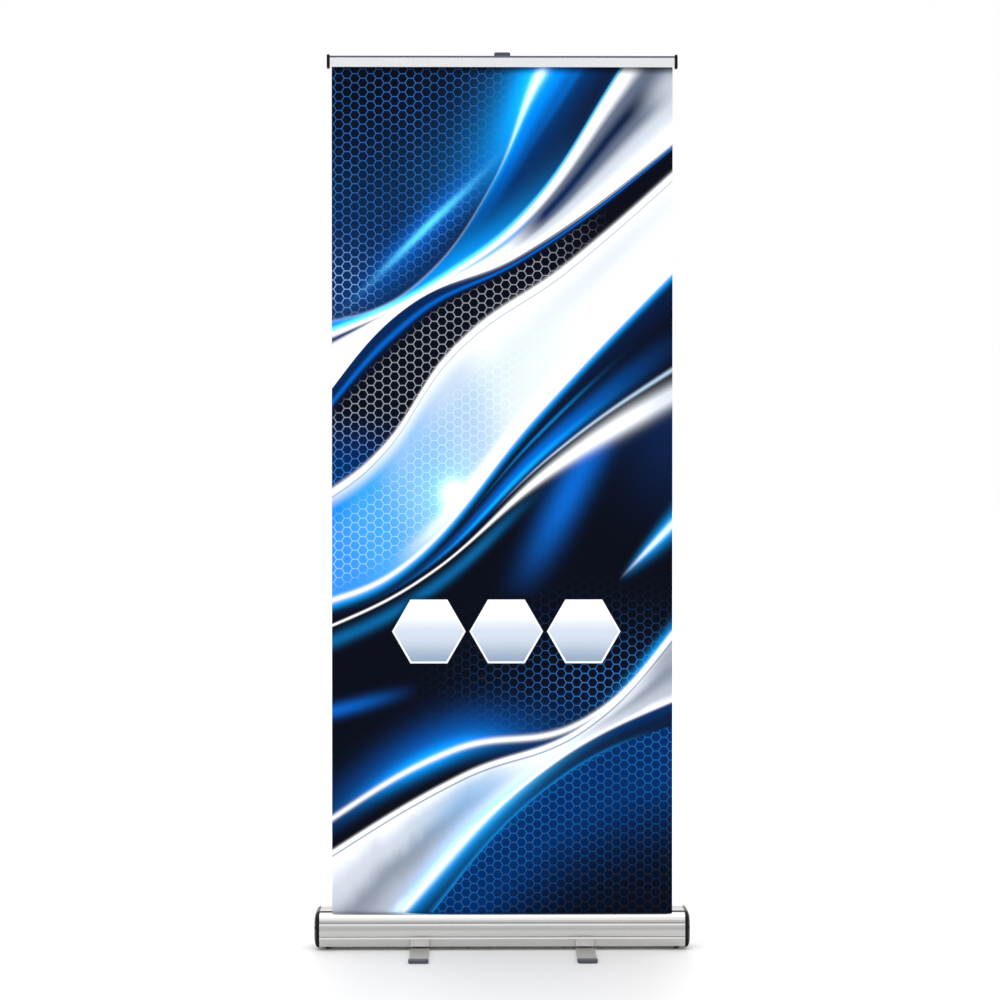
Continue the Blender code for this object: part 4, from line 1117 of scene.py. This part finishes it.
# ------------------------------------------------------------------ the banner
@dataclass
class Banner:
    """The raised banner: a thin film with a printed front and a grey back."""

    finishes: Finishes
    slot_top: float  # height at which the banner leaves the cassette
    rail_bottom: float
    columns: int = 24
    rows: int = 72
    ripple: float = 0.00022  # height of the trace of roll memory
    fade: float = 0.15  # the ripple dies out over this much of each end

    def build(self) -> None:
        """Models the film as a subdivided sheet, with a trace of roll memory, and clamps it in the rail."""
        box = Box.of("banner_sheet")
        width, height = box.high.x - box.low.x, box.high.z - box.low.z
        y = box.middle.y
        bpy.ops.mesh.primitive_grid_add(
            x_subdivisions=self.columns, y_subdivisions=self.rows, size=1, location=(0, 0, 0)
        )
        film = bpy.context.active_object
        film.name = "banner_film"
        mesh = film.data
        layer = mesh.uv_layers.active or mesh.uv_layers.new(name="print")
        visible = self.rail_bottom - self.slot_top
        for vertex in mesh.vertices:
            x = vertex.co.x * width
            z = (vertex.co.y + 0.5) * height + box.low.z
            wave = math.sin(z * 7.0 + 0.6) * math.cos(x * 4.0) * self.ripple
            fade = min(1.0, (z - self.slot_top) / self.fade, (self.rail_bottom - z) / self.fade)
            vertex.co = (x, y + wave * max(0.0, fade), z)
        for loop in mesh.loops:
            point = mesh.vertices[loop.vertex_index].co
            layer.data[loop.index].uv = (point.x / width + 0.5, (point.z - self.slot_top) / visible)
        mesh.materials.append(self.finishes.made["banner_print"])
        mesh.materials.append(self.finishes.made["banner_back"])
        solid = film.modifiers.new("Solidify", "SOLIDIFY")
        solid.thickness = box.high.y - box.low.y
        solid.offset = 0.0
        solid.material_offset = 0
        Bench.apply(film)
        Bench.tidy(film)
        for face in mesh.polygons:
            face.material_index = 0 if face.normal.y < -0.5 else 1
        place(film, self.finishes.made["banner_print"], "base", "printed_film", "banner_sheet")
        travel = abs(slide_range("rail_travel")[0])
        (height - travel) / height
        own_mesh(film)


def slide_range(name: str) -> tuple[float, float]:
    """Returns a slide joint's range in metres from the frame.

    Args:
        name: the joint's name.

    Returns:
        Its lower and upper ends.

    Raises:
        ValueError: if no joint has that name.
    """
    for joint in frame["record"]["behaviour"]["joints"]:
        if joint["name"] == name:
            return tuple(joint["range_m"])
    raise ValueError(f"no joint is called {name}")


# ------------------------------------------------------------------ the cassette
@dataclass
class Cassette:
    """The extrusion that houses the roller, and its two domed end caps."""

    finishes: Finishes
    wall: float = 0.0018
    front_wall: float = 0.0024
    groove: float = 0.0014
    shoulder_drop: float = 0.0225
    shoulder_step: float = 0.0025
    upper_groove: float = 0.003
    upper_chamfer: float = 0.0035
    lower_face: float = 0.018
    lower_lean: float = 0.0035
    lower_chamfer: float = 0.004
    lower_groove: float = 0.001
    lower_edge: float = 0.0008
    slot_ahead: float = 0.00465
    slot_behind: float = 0.00535
    rear_top_radius: float = 0.006
    rear_bottom_radius: float = 0.008
    cap_plate: float = 0.003
    dome_width: float = 0.972  # the dome's foot, as a share of the cap
    dome_curve: float = 2.4
    dome_rings: int = 18
    cap_front_corner: float = 0.006
    cap_corner: float = 0.009
    cap_shoulder: float = 0.023
    well_floor: float = 0.003  # the screw heads sink to this far from the cap's inner face
    well_radius: float = 0.0035
    screw_hole: float = 0.0018
    socket_bore: float = 0.0098
    peg_bore: float = 0.0033
    peg_depth: float = 0.003

    def shoulder(self, box: Box, lip: float, inset: float) -> list[Point]:
        """Returns the front shoulder's quarter ellipse from the groove up to the lip.

        Args:
            box: the extrusion's box.
            lip: the lip's Y.
            inset: how far inside the outer face it runs.

        Returns:
            Its points in Y and Z.
        """
        reach = lip - (box.low.y + self.groove) - inset
        rise = self.shoulder_drop - self.shoulder_step - inset
        centre = box.high.z - self.shoulder_drop
        turns = [math.pi / 2 * step / 20 for step in range(21)]
        return [(lip - reach * math.cos(a), centre + rise * math.sin(a)) for a in turns]

    def outline(self, box: Box) -> list[Point]:
        """Returns the extrusion's C-shaped section in Y and Z.

        Args:
            box: the extrusion's box.

        Returns:
            The outer outline, then the inner one.
        """
        sheet = Box.of("banner_sheet").middle.y
        lip, strip = sheet - self.slot_ahead, sheet + self.slot_behind
        front, rear, bottom, top = box.low.y, box.high.y, box.low.z, box.high.z
        groove = front + self.groove
        face_top = bottom + self.lower_face
        groove_low = face_top + self.lower_chamfer
        groove_high = groove_low + self.lower_groove
        panel_top = top - self.shoulder_drop - self.upper_groove - self.upper_chamfer
        high = (rear - self.rear_top_radius, top - self.rear_top_radius)
        low = (rear - self.rear_bottom_radius, bottom + self.rear_bottom_radius)
        outer = [(strip, top - 0.0006), (strip + 0.0006, top)]
        outer += arc(high, self.rear_top_radius, 90, 0, 12)
        outer += arc(low, self.rear_bottom_radius, 0, -90, 12)
        lean = front + self.lower_lean
        outer += [(lean + 0.001, bottom), (lean + 0.0003, bottom + 0.0003), (lean, bottom + 0.001)]
        outer += [(front + 0.0002, face_top - 0.0008), (front, face_top), (front + 0.0002, face_top + 0.0009)]
        panel_low = groove_high + self.lower_edge
        outer += [(groove, groove_low), (groove, groove_high), (front + 0.0003, panel_low)]
        outer += [(front, panel_low + 0.0005), (front, panel_top - 0.0008)]
        outer += [(front + 0.0003, panel_top), (groove, panel_top + self.upper_chamfer)]
        outer += self.shoulder(box, lip, 0.0)
        inner_front = front + self.front_wall
        floor = bottom + self.wall
        inner = self.shoulder(box, lip, self.front_wall - self.groove)[::-1]
        inner += [(inner_front, top - self.shoulder_drop), (inner_front, face_top)]
        inner += [(inner_front + self.lower_lean, floor)]
        inner += arc(low, self.rear_bottom_radius - self.wall, -90, 0, 10)
        inner += arc(high, self.rear_top_radius - self.wall, 0, 90, 10)
        inner += [(strip, top - self.wall)]
        return outer + inner

    def build_shell(self) -> None:
        """Extrudes the section and bores the holes for the pole, the foot pivots and the pads."""
        box = Box.of("cassette_shell")
        points = [(box.low.x, y, z) for y, z in self.outline(box)]
        shell = Bench.extruded("cassette_extrusion", points, (box.high.x - box.low.x, 0, 0))
        socket = Box.of("pole_socket").middle
        start, end = (0, socket.y, box.middle.z), (0, socket.y, box.high.z + TOOL)
        tool = Bench.rod(start, end, self.socket_bore)
        Bench.combine(shell, tool, "DIFFERENCE")
        under = [f"{side}_foot_pivot_screw" for side in ("left", "right")]
        under += [f"bumper_pad_{side}_{end}" for side in ("left", "right") for end in ("front", "rear")]
        for node in under:
            at = Box.of(node).middle
            low, high = box.low.z - TOOL, box.low.z + self.peg_depth
            tool = Bench.rod((at.x, at.y, low), (at.x, at.y, high), self.peg_bore)
            Bench.combine(shell, tool, "DIFFERENCE")
        # The anodised finish with painted shade in the grooves.
        place(shell, self.finishes.made["anodised_painted_groove_shade"], "base", "anodised_aluminium", "cassette_shell")

    def build_cap(self, side: int) -> None:
        """Models one domed end cap with a rolled rim and its screw wells.

        Args:
            side: -1 for the left cap, 1 for the right.
        """
        node = "left_end_cap" if side < 0 else "right_end_cap"
        box, shell = Box.of(node), Box.of("cassette_shell")
        face = side * (shell.high.x + GAP)
        reach = (box.high.x if side > 0 else -box.low.x) - abs(face)
        corners = [
            (box.low.y, box.low.z, self.cap_front_corner),
            (box.high.y, box.low.z, self.cap_corner),
            (box.high.y, box.high.z, self.cap_corner),
            (box.low.y, box.high.z, self.cap_shoulder),
        ]
        outline = rounded(corners, 12)
        cap = Bench.drawn(f"{node}_dome", [(face, y, z) for y, z in outline], "NGON")
        self.raise_dome(cap, side, reach, box.middle)
        well = (self.well_floor, 3 * TOOL, self.well_radius)
        hole = (-TOOL, 2 * TOOL, self.screw_hole)
        for where in ("upper", "front", "rear"):
            at = Box.of(f"{node}_screw_{where}").middle
            for start, end, radius in (well, hole):
                low, high = sorted((face + side * start, face + side * end))
                tool = Bench.rod((low, at.y, at.z), (high, at.y, at.z), radius)
                Bench.combine(cap, tool, "DIFFERENCE")
        place(cap, self.finishes.made["gloss_black"], "base", "gloss_black_plastic", node)

    def raise_dome(self, cap: bpy.types.Object, side: int, reach: float, middle: Vector) -> None:
        """Extrudes the cap's outline outwards ring by ring, through its rolled rim to its dome.

        Args:
            cap: the filled outline.
            side: -1 for the left cap, 1 for the right.
            reach: how far the dome's crown stands out from the outline.
            middle: the cap's middle.
        """
        # Each ring is a size, as a share of the cap, and its distance out. The first four are the rolled rim.
        rings = [(1.0, 0.0026), (0.9965, 0.0030), (0.986, 0.0031), (0.980, 0.0027)]
        count = self.dome_rings
        widths = [self.dome_width * math.cos(math.pi / 2 * step / count) ** 0.8 for step in range(count)]
        rise = reach - self.cap_plate
        for width in widths:
            curve = (1 - (width / self.dome_width) ** self.dome_curve) ** (1 / self.dome_curve)
            rings.append((width, self.cap_plate + rise * curve))
        scale, out = 1.0, 0.0
        with Bench.editing(cap):
            for next_scale, next_out in rings:
                step = (side * (next_out - out), 0, 0)
                bpy.ops.mesh.extrude_region_move(TRANSFORM_OT_translate={"value": step})
                ratio = next_scale / scale
                bpy.ops.transform.resize(value=(1, ratio, ratio), center_override=middle)
                scale, out = next_scale, next_out
        Bench.tidy(cap, 35)

    def build(self) -> None:
        """Builds the extrusion and both caps."""
        self.build_shell()
        for side in (-1, 1):
            self.build_cap(side)


# ------------------------------------------------------------------ the rail
@dataclass
class Rail:
    """The clamp rail, its hinged jaw and its end caps."""

    finishes: Finishes
    plate: float = 0.003
    web: float = 0.0016
    channel: float = 0.0049
    rear_web: float = 0.0018
    rear_drop: float = 0.020
    claw: float = 0.0036
    claw_bore: float = 0.0019
    claw_ahead: float = 0.00415
    bead: float = 0.0016
    neck: float = 0.0016
    jaw_wall: float = 0.0018
    jaw_lip: float = 0.0035
    cap_corner: float = 0.005
    cap_ease: float = 0.0016

    def build(self) -> None:
        """Builds the rail's four pieces."""
        rail, jaw, sheet = Box.of("top_rail"), Box.of("rail_jaw"), Box.of("banner_sheet")
        top, under = rail.high.z, rail.high.z - self.plate
        centre = (sheet.middle.y - self.claw_ahead, top - self.claw)
        web_front = sheet.high.y + GAP
        channel_front = web_front + self.web
        channel_rear = channel_front + self.channel
        rear = channel_rear + self.rear_web
        meet = math.degrees(math.asin((under - centre[1]) / self.claw))
        section = arc(centre, self.claw, 190, 90, 14)
        section += arc((rear - 0.0010, top - 0.0010), 0.0010, 90, 0, 4)
        section += [(rear, top - self.rear_drop), (channel_rear, top - self.rear_drop)]
        section += [(channel_rear, under), (channel_front, under)]
        section += [(channel_front, rail.low.z), (web_front, rail.low.z), (web_front, under)]
        section += arc(centre, self.claw, meet, -60, 8)
        section += arc(centre, self.claw_bore, -60, 190, 24)
        run = (rail.high.x - rail.low.x, 0, 0)
        body = Bench.extruded("rail_extrusion", [(rail.low.x, y, z) for y, z in section], run)
        # The rail body wears the darker copy of the anodised aluminium: painted shade on the claw.
        slate, finish = self.finishes.made["anodised_painted_shade"], self.finishes.made["anodised_painted_light"]
        place(body, slate, "rail", "anodised_aluminium", "top_rail")
        section = self.jaw_section(centre, jaw, sheet)
        run = (jaw.high.x - jaw.low.x, 0, 0)
        clamp = Bench.extruded("rail_clamp_jaw", [(jaw.low.x, y, z) for y, z in section], run)
        # The jaw wears the lighter copy of the anodised aluminium: painted light on its face.
        place(clamp, finish, "jaw", "anodised_aluminium", "rail_jaw")
        for node, side in (("rail_cap_left", -1), ("rail_cap_right", 1)):
            self.build_cap(node, side, rail)

    def jaw_section(self, centre: Point, jaw: Box, sheet: Box) -> list[Point]:
        """Returns the jaw's section: bead, neck, front plate and gripping lip.

        Args:
            centre: the hinge's axis in Y and Z.
            jaw: the jaw's box.
            sheet: the banner's box.

        Returns:
            The points in Y and Z.
        """
        half = self.neck / 2
        outer = centre[0] - jaw.low.y
        outer = max(outer / math.cos(math.radians(20)), self.claw + GAP)
        bead_angle = math.degrees(math.asin(half / self.bead))
        neck_angle = math.degrees(math.asin(half / outer))
        front, bottom = jaw.low.y, jaw.low.z
        lip = sheet.low.y - GAP
        shelf = centre[1] - outer - self.jaw_wall
        section = arc(centre, self.bead, -90 + bead_angle, 270 - bead_angle, 20)
        section += arc(centre, outer, 270 - neck_angle, 200, 10)
        section += [(front, bottom + 0.0014)]
        section += arc((front + 0.0012, bottom + 0.0012), 0.0012, 180, 270, 5)
        section += [(lip - 0.0006, bottom), (lip, bottom + 0.0006)]
        section += [(lip, bottom + self.jaw_lip - 0.0006), (lip - 0.0006, bottom + self.jaw_lip)]
        section += [(front + self.jaw_wall, bottom + self.jaw_lip), (front + self.jaw_wall, shelf)]
        section += [(centre[0] + half, shelf)]
        return section

    def build_cap(self, node: str, side: int, rail: Box) -> None:
        """Models one rounded rail end cap.

        Args:
            node: the cap's node.
            side: -1 for the left cap, 1 for the right.
            rail: the rail's box.
        """
        box = Box.of(node)
        face = side * (rail.high.x + GAP)
        thickness = (box.high.x if side > 0 else -box.low.x) - abs(face)
        corners = [
            (box.low.y, box.low.z, self.cap_corner),
            (box.high.y, box.low.z, self.cap_corner),
            (box.high.y, box.high.z, self.cap_corner),
            (box.low.y, box.high.z, self.cap_corner),
        ]
        points = [(face, y, z) for y, z in rounded(corners, 8)]
        cap = Bench.extruded(f"{node}_moulding", points, (side * thickness, 0, 0))
        Bench.bevel(cap, self.cap_ease, 4)
        place(cap, self.finishes.made["gloss_black"], "rail", "gloss_black_plastic", node)


# ------------------------------------------------------------------ the feet
@dataclass
class Feet:
    """The two foot bars and their end caps."""

    finishes: Finishes
    nose: float = 0.007
    corner: float = 0.0095
    cap_ease: float = 0.0017
    bar_ease: float = 0.0012
    groove_place: float = 0.62  # each groove's distance from the bar's middle, as a share of half its width
    pivot_bore: float = 0.0033
    head_bore: float = 0.0068
    head_depth: float = 0.0028

    def build(self) -> None:
        """Builds both feet."""
        for side in ("left", "right"):
            self.build_bar(side)
            for where, sign in (("front", -1), ("rear", 1)):
                self.build_cap(side, where, sign)

    def build_bar(self, side: str) -> None:
        """Models one bar with rolled edges, two shallow grooves along its top and its pivot bore.

        Args:
            side: left or right.
        """
        box = Box.of(f"{side}_foot_bar")
        x, low, high = box.middle.x, box.low.z, box.high.z
        half = (box.high.x - box.low.x) / 2
        grooves = []
        for offset in (half * self.groove_place, -half * self.groove_place):
            grooves += [(x + offset + 0.0009, high), (x + offset + 0.0005, high - 0.0005)]
            grooves += [(x + offset - 0.0005, high - 0.0005), (x + offset - 0.0009, high)]
        corner = self.bar_ease
        section = arc((x - half + corner, low + corner), corner, 180, 270, 5)
        section += arc((x + half - corner, low + corner), corner, 270, 360, 5)
        section += arc((x + half - corner, high - corner), corner, 0, 90, 5)
        section += grooves
        section += arc((x - half + corner, high - corner), corner, 90, 180, 5)
        points = [(u, box.low.y, v) for u, v in section]
        bar = Bench.extruded(f"{side}_foot_bar_finished", points, (0, box.high.y - box.low.y, 0))
        for end, radius in ((high + TOOL, self.pivot_bore), (low + self.head_depth, self.head_bore)):
            Bench.combine(bar, Bench.rod((x, 0, low - TOOL), (x, 0, end), radius), "DIFFERENCE")
        finish = self.finishes.made["anodised_along_y"]
        place(bar, finish, f"{side}_foot", "anodised_aluminium", f"{side}_foot_bar")

    def build_cap(self, side: str, where: str, sign: int) -> None:
        """Models one moulded foot cap: rounded nose, eased edges and the pocket that takes the bar.

        Args:
            side: left or right.
            where: front or rear.
            sign: -1 for the front, 1 for the rear.
        """
        node = f"{side}_foot_cap_{where}"
        box, bar = Box.of(node), Box.of(f"{side}_foot_bar")
        tip, mouth = (box.low.y, box.high.y) if sign < 0 else (box.high.y, box.low.y)
        corners = [
            (box.low.x, mouth, 0.0),
            (box.low.x, tip, self.corner),
            (box.high.x, tip, self.corner),
            (box.high.x, mouth, 0.0),
        ]
        points = [(u, v, box.low.z) for u, v in rounded(corners, 10)]
        cap = Bench.extruded(f"{node}_moulding", points, (0, 0, box.high.z - box.low.z))
        Bench.bevel(cap, self.cap_ease, 4)
        near, far = sorted((tip - sign * self.nose, mouth - sign * TOOL))
        low = (bar.low.x - GAP, near, bar.low.z - GAP)
        high = (bar.high.x + GAP, far, bar.high.z + GAP)
        Bench.combine(cap, Bench.block(low, high), "DIFFERENCE")
        place(cap, self.finishes.made["slate_plastic"], f"{side}_foot", "slate_plastic", node)


# ------------------------------------------------------------------ the pole
@dataclass
class Pole:
    """The telescopic pole's tubes and its two ribbed twist collars."""

    finishes: Finishes
    wall: float = 0.0012
    ribs: int = 18
    rib_depth: float = 0.0008
    hook_ease: float = 0.0006
    hook_flatness: float = 1.5  # faces that turn less than this, in degrees, become one
    tube_ease: float = 0.0003
    collar_wall: float = 0.0028

    def build(self) -> None:
        """Builds the tubes and the collars."""
        bodies = {"lower": "base", "middle": "pole_middle", "upper": "pole_upper"}
        for stage, body in bodies.items():
            self.build_tube(f"pole_{stage}_tube", body)
        self.build_collar("lower")
        self.build_collar("upper")
        self.build_hook()

    def build_hook(self) -> None:
        """Eases the edges of the moulded hook, whose shape is the working one."""
        mesh = bpy.data.objects["pole_hook"].data.copy()
        hook = bpy.data.objects.new("pole_hook_moulding", mesh)
        bpy.context.scene.collection.objects.link(hook)
        with Bench.editing(hook):
            bpy.ops.mesh.remove_doubles(threshold=MERGE)
            bpy.ops.mesh.dissolve_limited(angle_limit=math.radians(self.hook_flatness))
        Bench.bevel(hook, self.hook_ease, 3)
        mesh.materials.clear()
        place(hook, self.finishes.made["slate_plastic"], "pole_upper", "slate_plastic", "pole_hook")

    def build_tube(self, node: str, body: str) -> None:
        """Models one tube with eased ends.

        Args:
            node: the tube's node.
            body: the body that it rides on.
        """
        box = Box.of(node)
        radius, ease = (box.high.x - box.low.x) / 2, self.tube_ease
        bore, low, high = radius - self.wall, box.low.z, box.high.z
        profile = [
            (bore, low), (radius - ease, low), (radius, low + ease),
            (radius, high - ease), (radius - ease, high), (bore, high),
        ]
        centre = (box.middle.x, box.middle.y)
        tube = Bench.spun(f"{node}_finished", profile, centre, 64)
        place(tube, self.finishes.made["anodised_along_z"], body, "anodised_aluminium", node)

    def build_collar(self, stage: str) -> None:
        """Models one twist collar with grip ribs round it.

        Args:
            stage: lower or upper.
        """
        node = f"{stage}_twist_collar"
        box = Box.of(node)
        tube = Box.of("pole_lower_tube" if stage == "lower" else "pole_middle_tube")
        sliding = (tube.high.x - tube.low.x) / 2 - self.wall + GAP
        outside = (box.high.x - box.low.x) / 2
        inside, root = outside - self.collar_wall, outside - self.rib_depth
        low, high = box.low.z, box.high.z
        profile = [
            (inside, low), (outside - 0.0014, low), (root, low + 0.0012),
            (root, low + 0.004), (root, high - 0.007), (root, high - 0.004), (outside - 0.003, high),
            (sliding, high), (sliding, high - 0.0051), (inside, high - 0.0057),
        ]
        centre = (box.middle.x, box.middle.y)
        steps = self.ribs * 6
        collar = Bench.spun(f"{node}_finished", profile, centre, steps)
        for vertex in collar.data.vertices:
            spoke = Vector((vertex.co.x - centre[0], vertex.co.y - centre[1]))
            grip = abs(spoke.length - root) < 10 * MERGE
            if grip and low + 0.003 < vertex.co.z < high - 0.006:
                lift = max(0.0, math.cos(math.atan2(spoke.y, spoke.x) * self.ribs)) * self.rib_depth
                spoke = spoke.normalized() * (root + lift)
                vertex.co.x, vertex.co.y = centre[0] + spoke.x, centre[1] + spoke.y
        Bench.tidy(collar)
        body = f"{stage}_collar"
        place(collar, self.finishes.made["slate_plastic"], body, "slate_plastic", node)


# ------------------------------------------------------------------ carried-over nodes
def dress_nodes(finishes: Finishes) -> None:
    """Gives the nodes that stay as they are their finishes.

    Args:
        finishes: the materials.
    """
    sides = ("left", "right")
    screws = [f"{side}_end_cap_screw_{at}" for side in sides for at in ("upper", "front", "rear")]
    pivots = [f"{side}_foot_pivot_{part}" for side in sides for part in ("screw", "nut")]
    steel = [*screws, *pivots, "spring_spindle", "torsion_spring", "idler_axle", "hook_pin"]
    washers = [f"{side}_foot_pivot_washer" for side in sides]
    nylon = [*washers, "spring_side_plug", "idler_plug", "spring_anchor", "pole_middle_plug"]
    nylon += ["pole_upper_plug", "lower_collet", "upper_collet"]
    pads = [f"bumper_pad_{at}" for at in ("left_front", "left_rear", "right_front", "right_rear")]
    finishes.dress(steel, "zinc_steel")
    finishes.dress(nylon, "white_nylon")
    finishes.dress(pads, "black_rubber")
    finishes.dress(["idler_bush"], "brass")
    finishes.dress(["banner_roll"], "banner_back")
    finishes.dress(["roller_tube"], "anodised_along_x")
    finishes.dress(["pole_socket", "pole_base_plug"], "slate_plastic")


# ------------------------------------------------------------------ the studio
@dataclass
class Studio:
    """A white floor, soft light and the camera."""

    camera_place: Point3 = (-0.065, -6.02, 1.24)
    focal_share: float = 2.554  # focal length over sensor width
    pitch: float = -0.5
    yaw: float = -0.57
    shift: float = -0.056
    lamp: float = 0.15
    lamp_spread: float = 40.0
    walls: float = 0.66
    ceiling: float = 1.55
    overhead: float = 0.6
    floor_size: float = 60.0
    lamp_aim: Point3 = (0.45, 0.9, -1.5)

    def build(self) -> None:
        """Sets the floor, the lights and the camera."""
        bpy.context.scene.view_settings.view_transform = "Standard"
        self.build_floor()
        self.build_sun()
        self.build_world()
        self.build_camera()

    def build_floor(self) -> None:
        """Lays a pale floor with a trace of unevenness."""
        bpy.ops.mesh.primitive_plane_add(size=self.floor_size, location=(0, 0, 0))
        floor = bpy.context.active_object
        floor.name = "studio_floor"
        g = Graph.material("studio_floor")
        clouds = g.noise(g.object_point(), 2.0, 3.0)
        colour = g.mix((0.675, 0.67, 0.665), (0.66, 0.655, 0.65), clouds)
        floor.data.materials.append(g.surface(base_color=colour, roughness=clouds * 0.1 + 0.45))

    def build_sun(self) -> None:
        """Adds the broad lamp above and in front of the stand, a little to the left."""
        data = bpy.data.lights.new("broad_lamp", "SUN")
        data.angle = math.radians(self.lamp_spread)
        data.energy = self.lamp
        lamp = bpy.data.objects.new("broad_lamp", data)
        lamp.rotation_euler = Vector(self.lamp_aim).to_track_quat("-Z", "Y").to_euler()
        bpy.context.scene.collection.objects.link(lamp)

    def build_world(self) -> None:
        """Surrounds the stand with a white room whose ceiling is brighter than its walls."""
        world = bpy.data.worlds.new("studio")
        g = Graph(world)
        up = g.split(g.node("TexCoord", out="Generated"))[2]
        height = up.step(0.0, 0.36, self.walls, self.ceiling) + up.step(0.72, 0.92, 0.0, self.overhead)
        seen = g.node("LightPath", out="Is Camera Ray")
        strength = height + (1.0 - height) * seen
        room = g.node("Background", {"Color": (1.0, 1.0, 1.0), "Strength": strength})
        g.tree.links.new(room.source, g.output.inputs["Surface"])
        bpy.context.scene.world = world

    def build_camera(self) -> None:
        """Stands the camera in front, at about the banner's middle height."""
        data = bpy.data.cameras.new("camera")
        data.sensor_width = 36.0
        data.lens = self.focal_share * data.sensor_width
        data.shift_y = self.shift
        camera = bpy.data.objects.new("camera", data)
        camera.location = self.camera_place
        camera.rotation_euler = (math.radians(90 + self.pitch), 0, math.radians(self.yaw))
        bpy.context.scene.collection.objects.link(camera)
        bpy.context.scene.camera = camera


def main() -> None:
    """Builds the finished stand."""
    logging.basicConfig(level=logging.INFO, format="%(message)s")
    cassette, jaw, sheet = Box.of("cassette_shell"), Box.of("rail_jaw"), Box.of("banner_sheet")
    slot_top, rail_bottom = cassette.high.z, jaw.low.z
    finishes = Finishes(sheet.high.x - sheet.low.x, rail_bottom - slot_top).build()
    dress_nodes(finishes)
    Cassette(finishes).build()
    Banner(finishes, slot_top, rail_bottom).build()
    Rail(finishes).build()
    Feet(finishes).build()
    Pole(finishes).build()
    Studio().build()


if __name__ == "__main__":
    main()
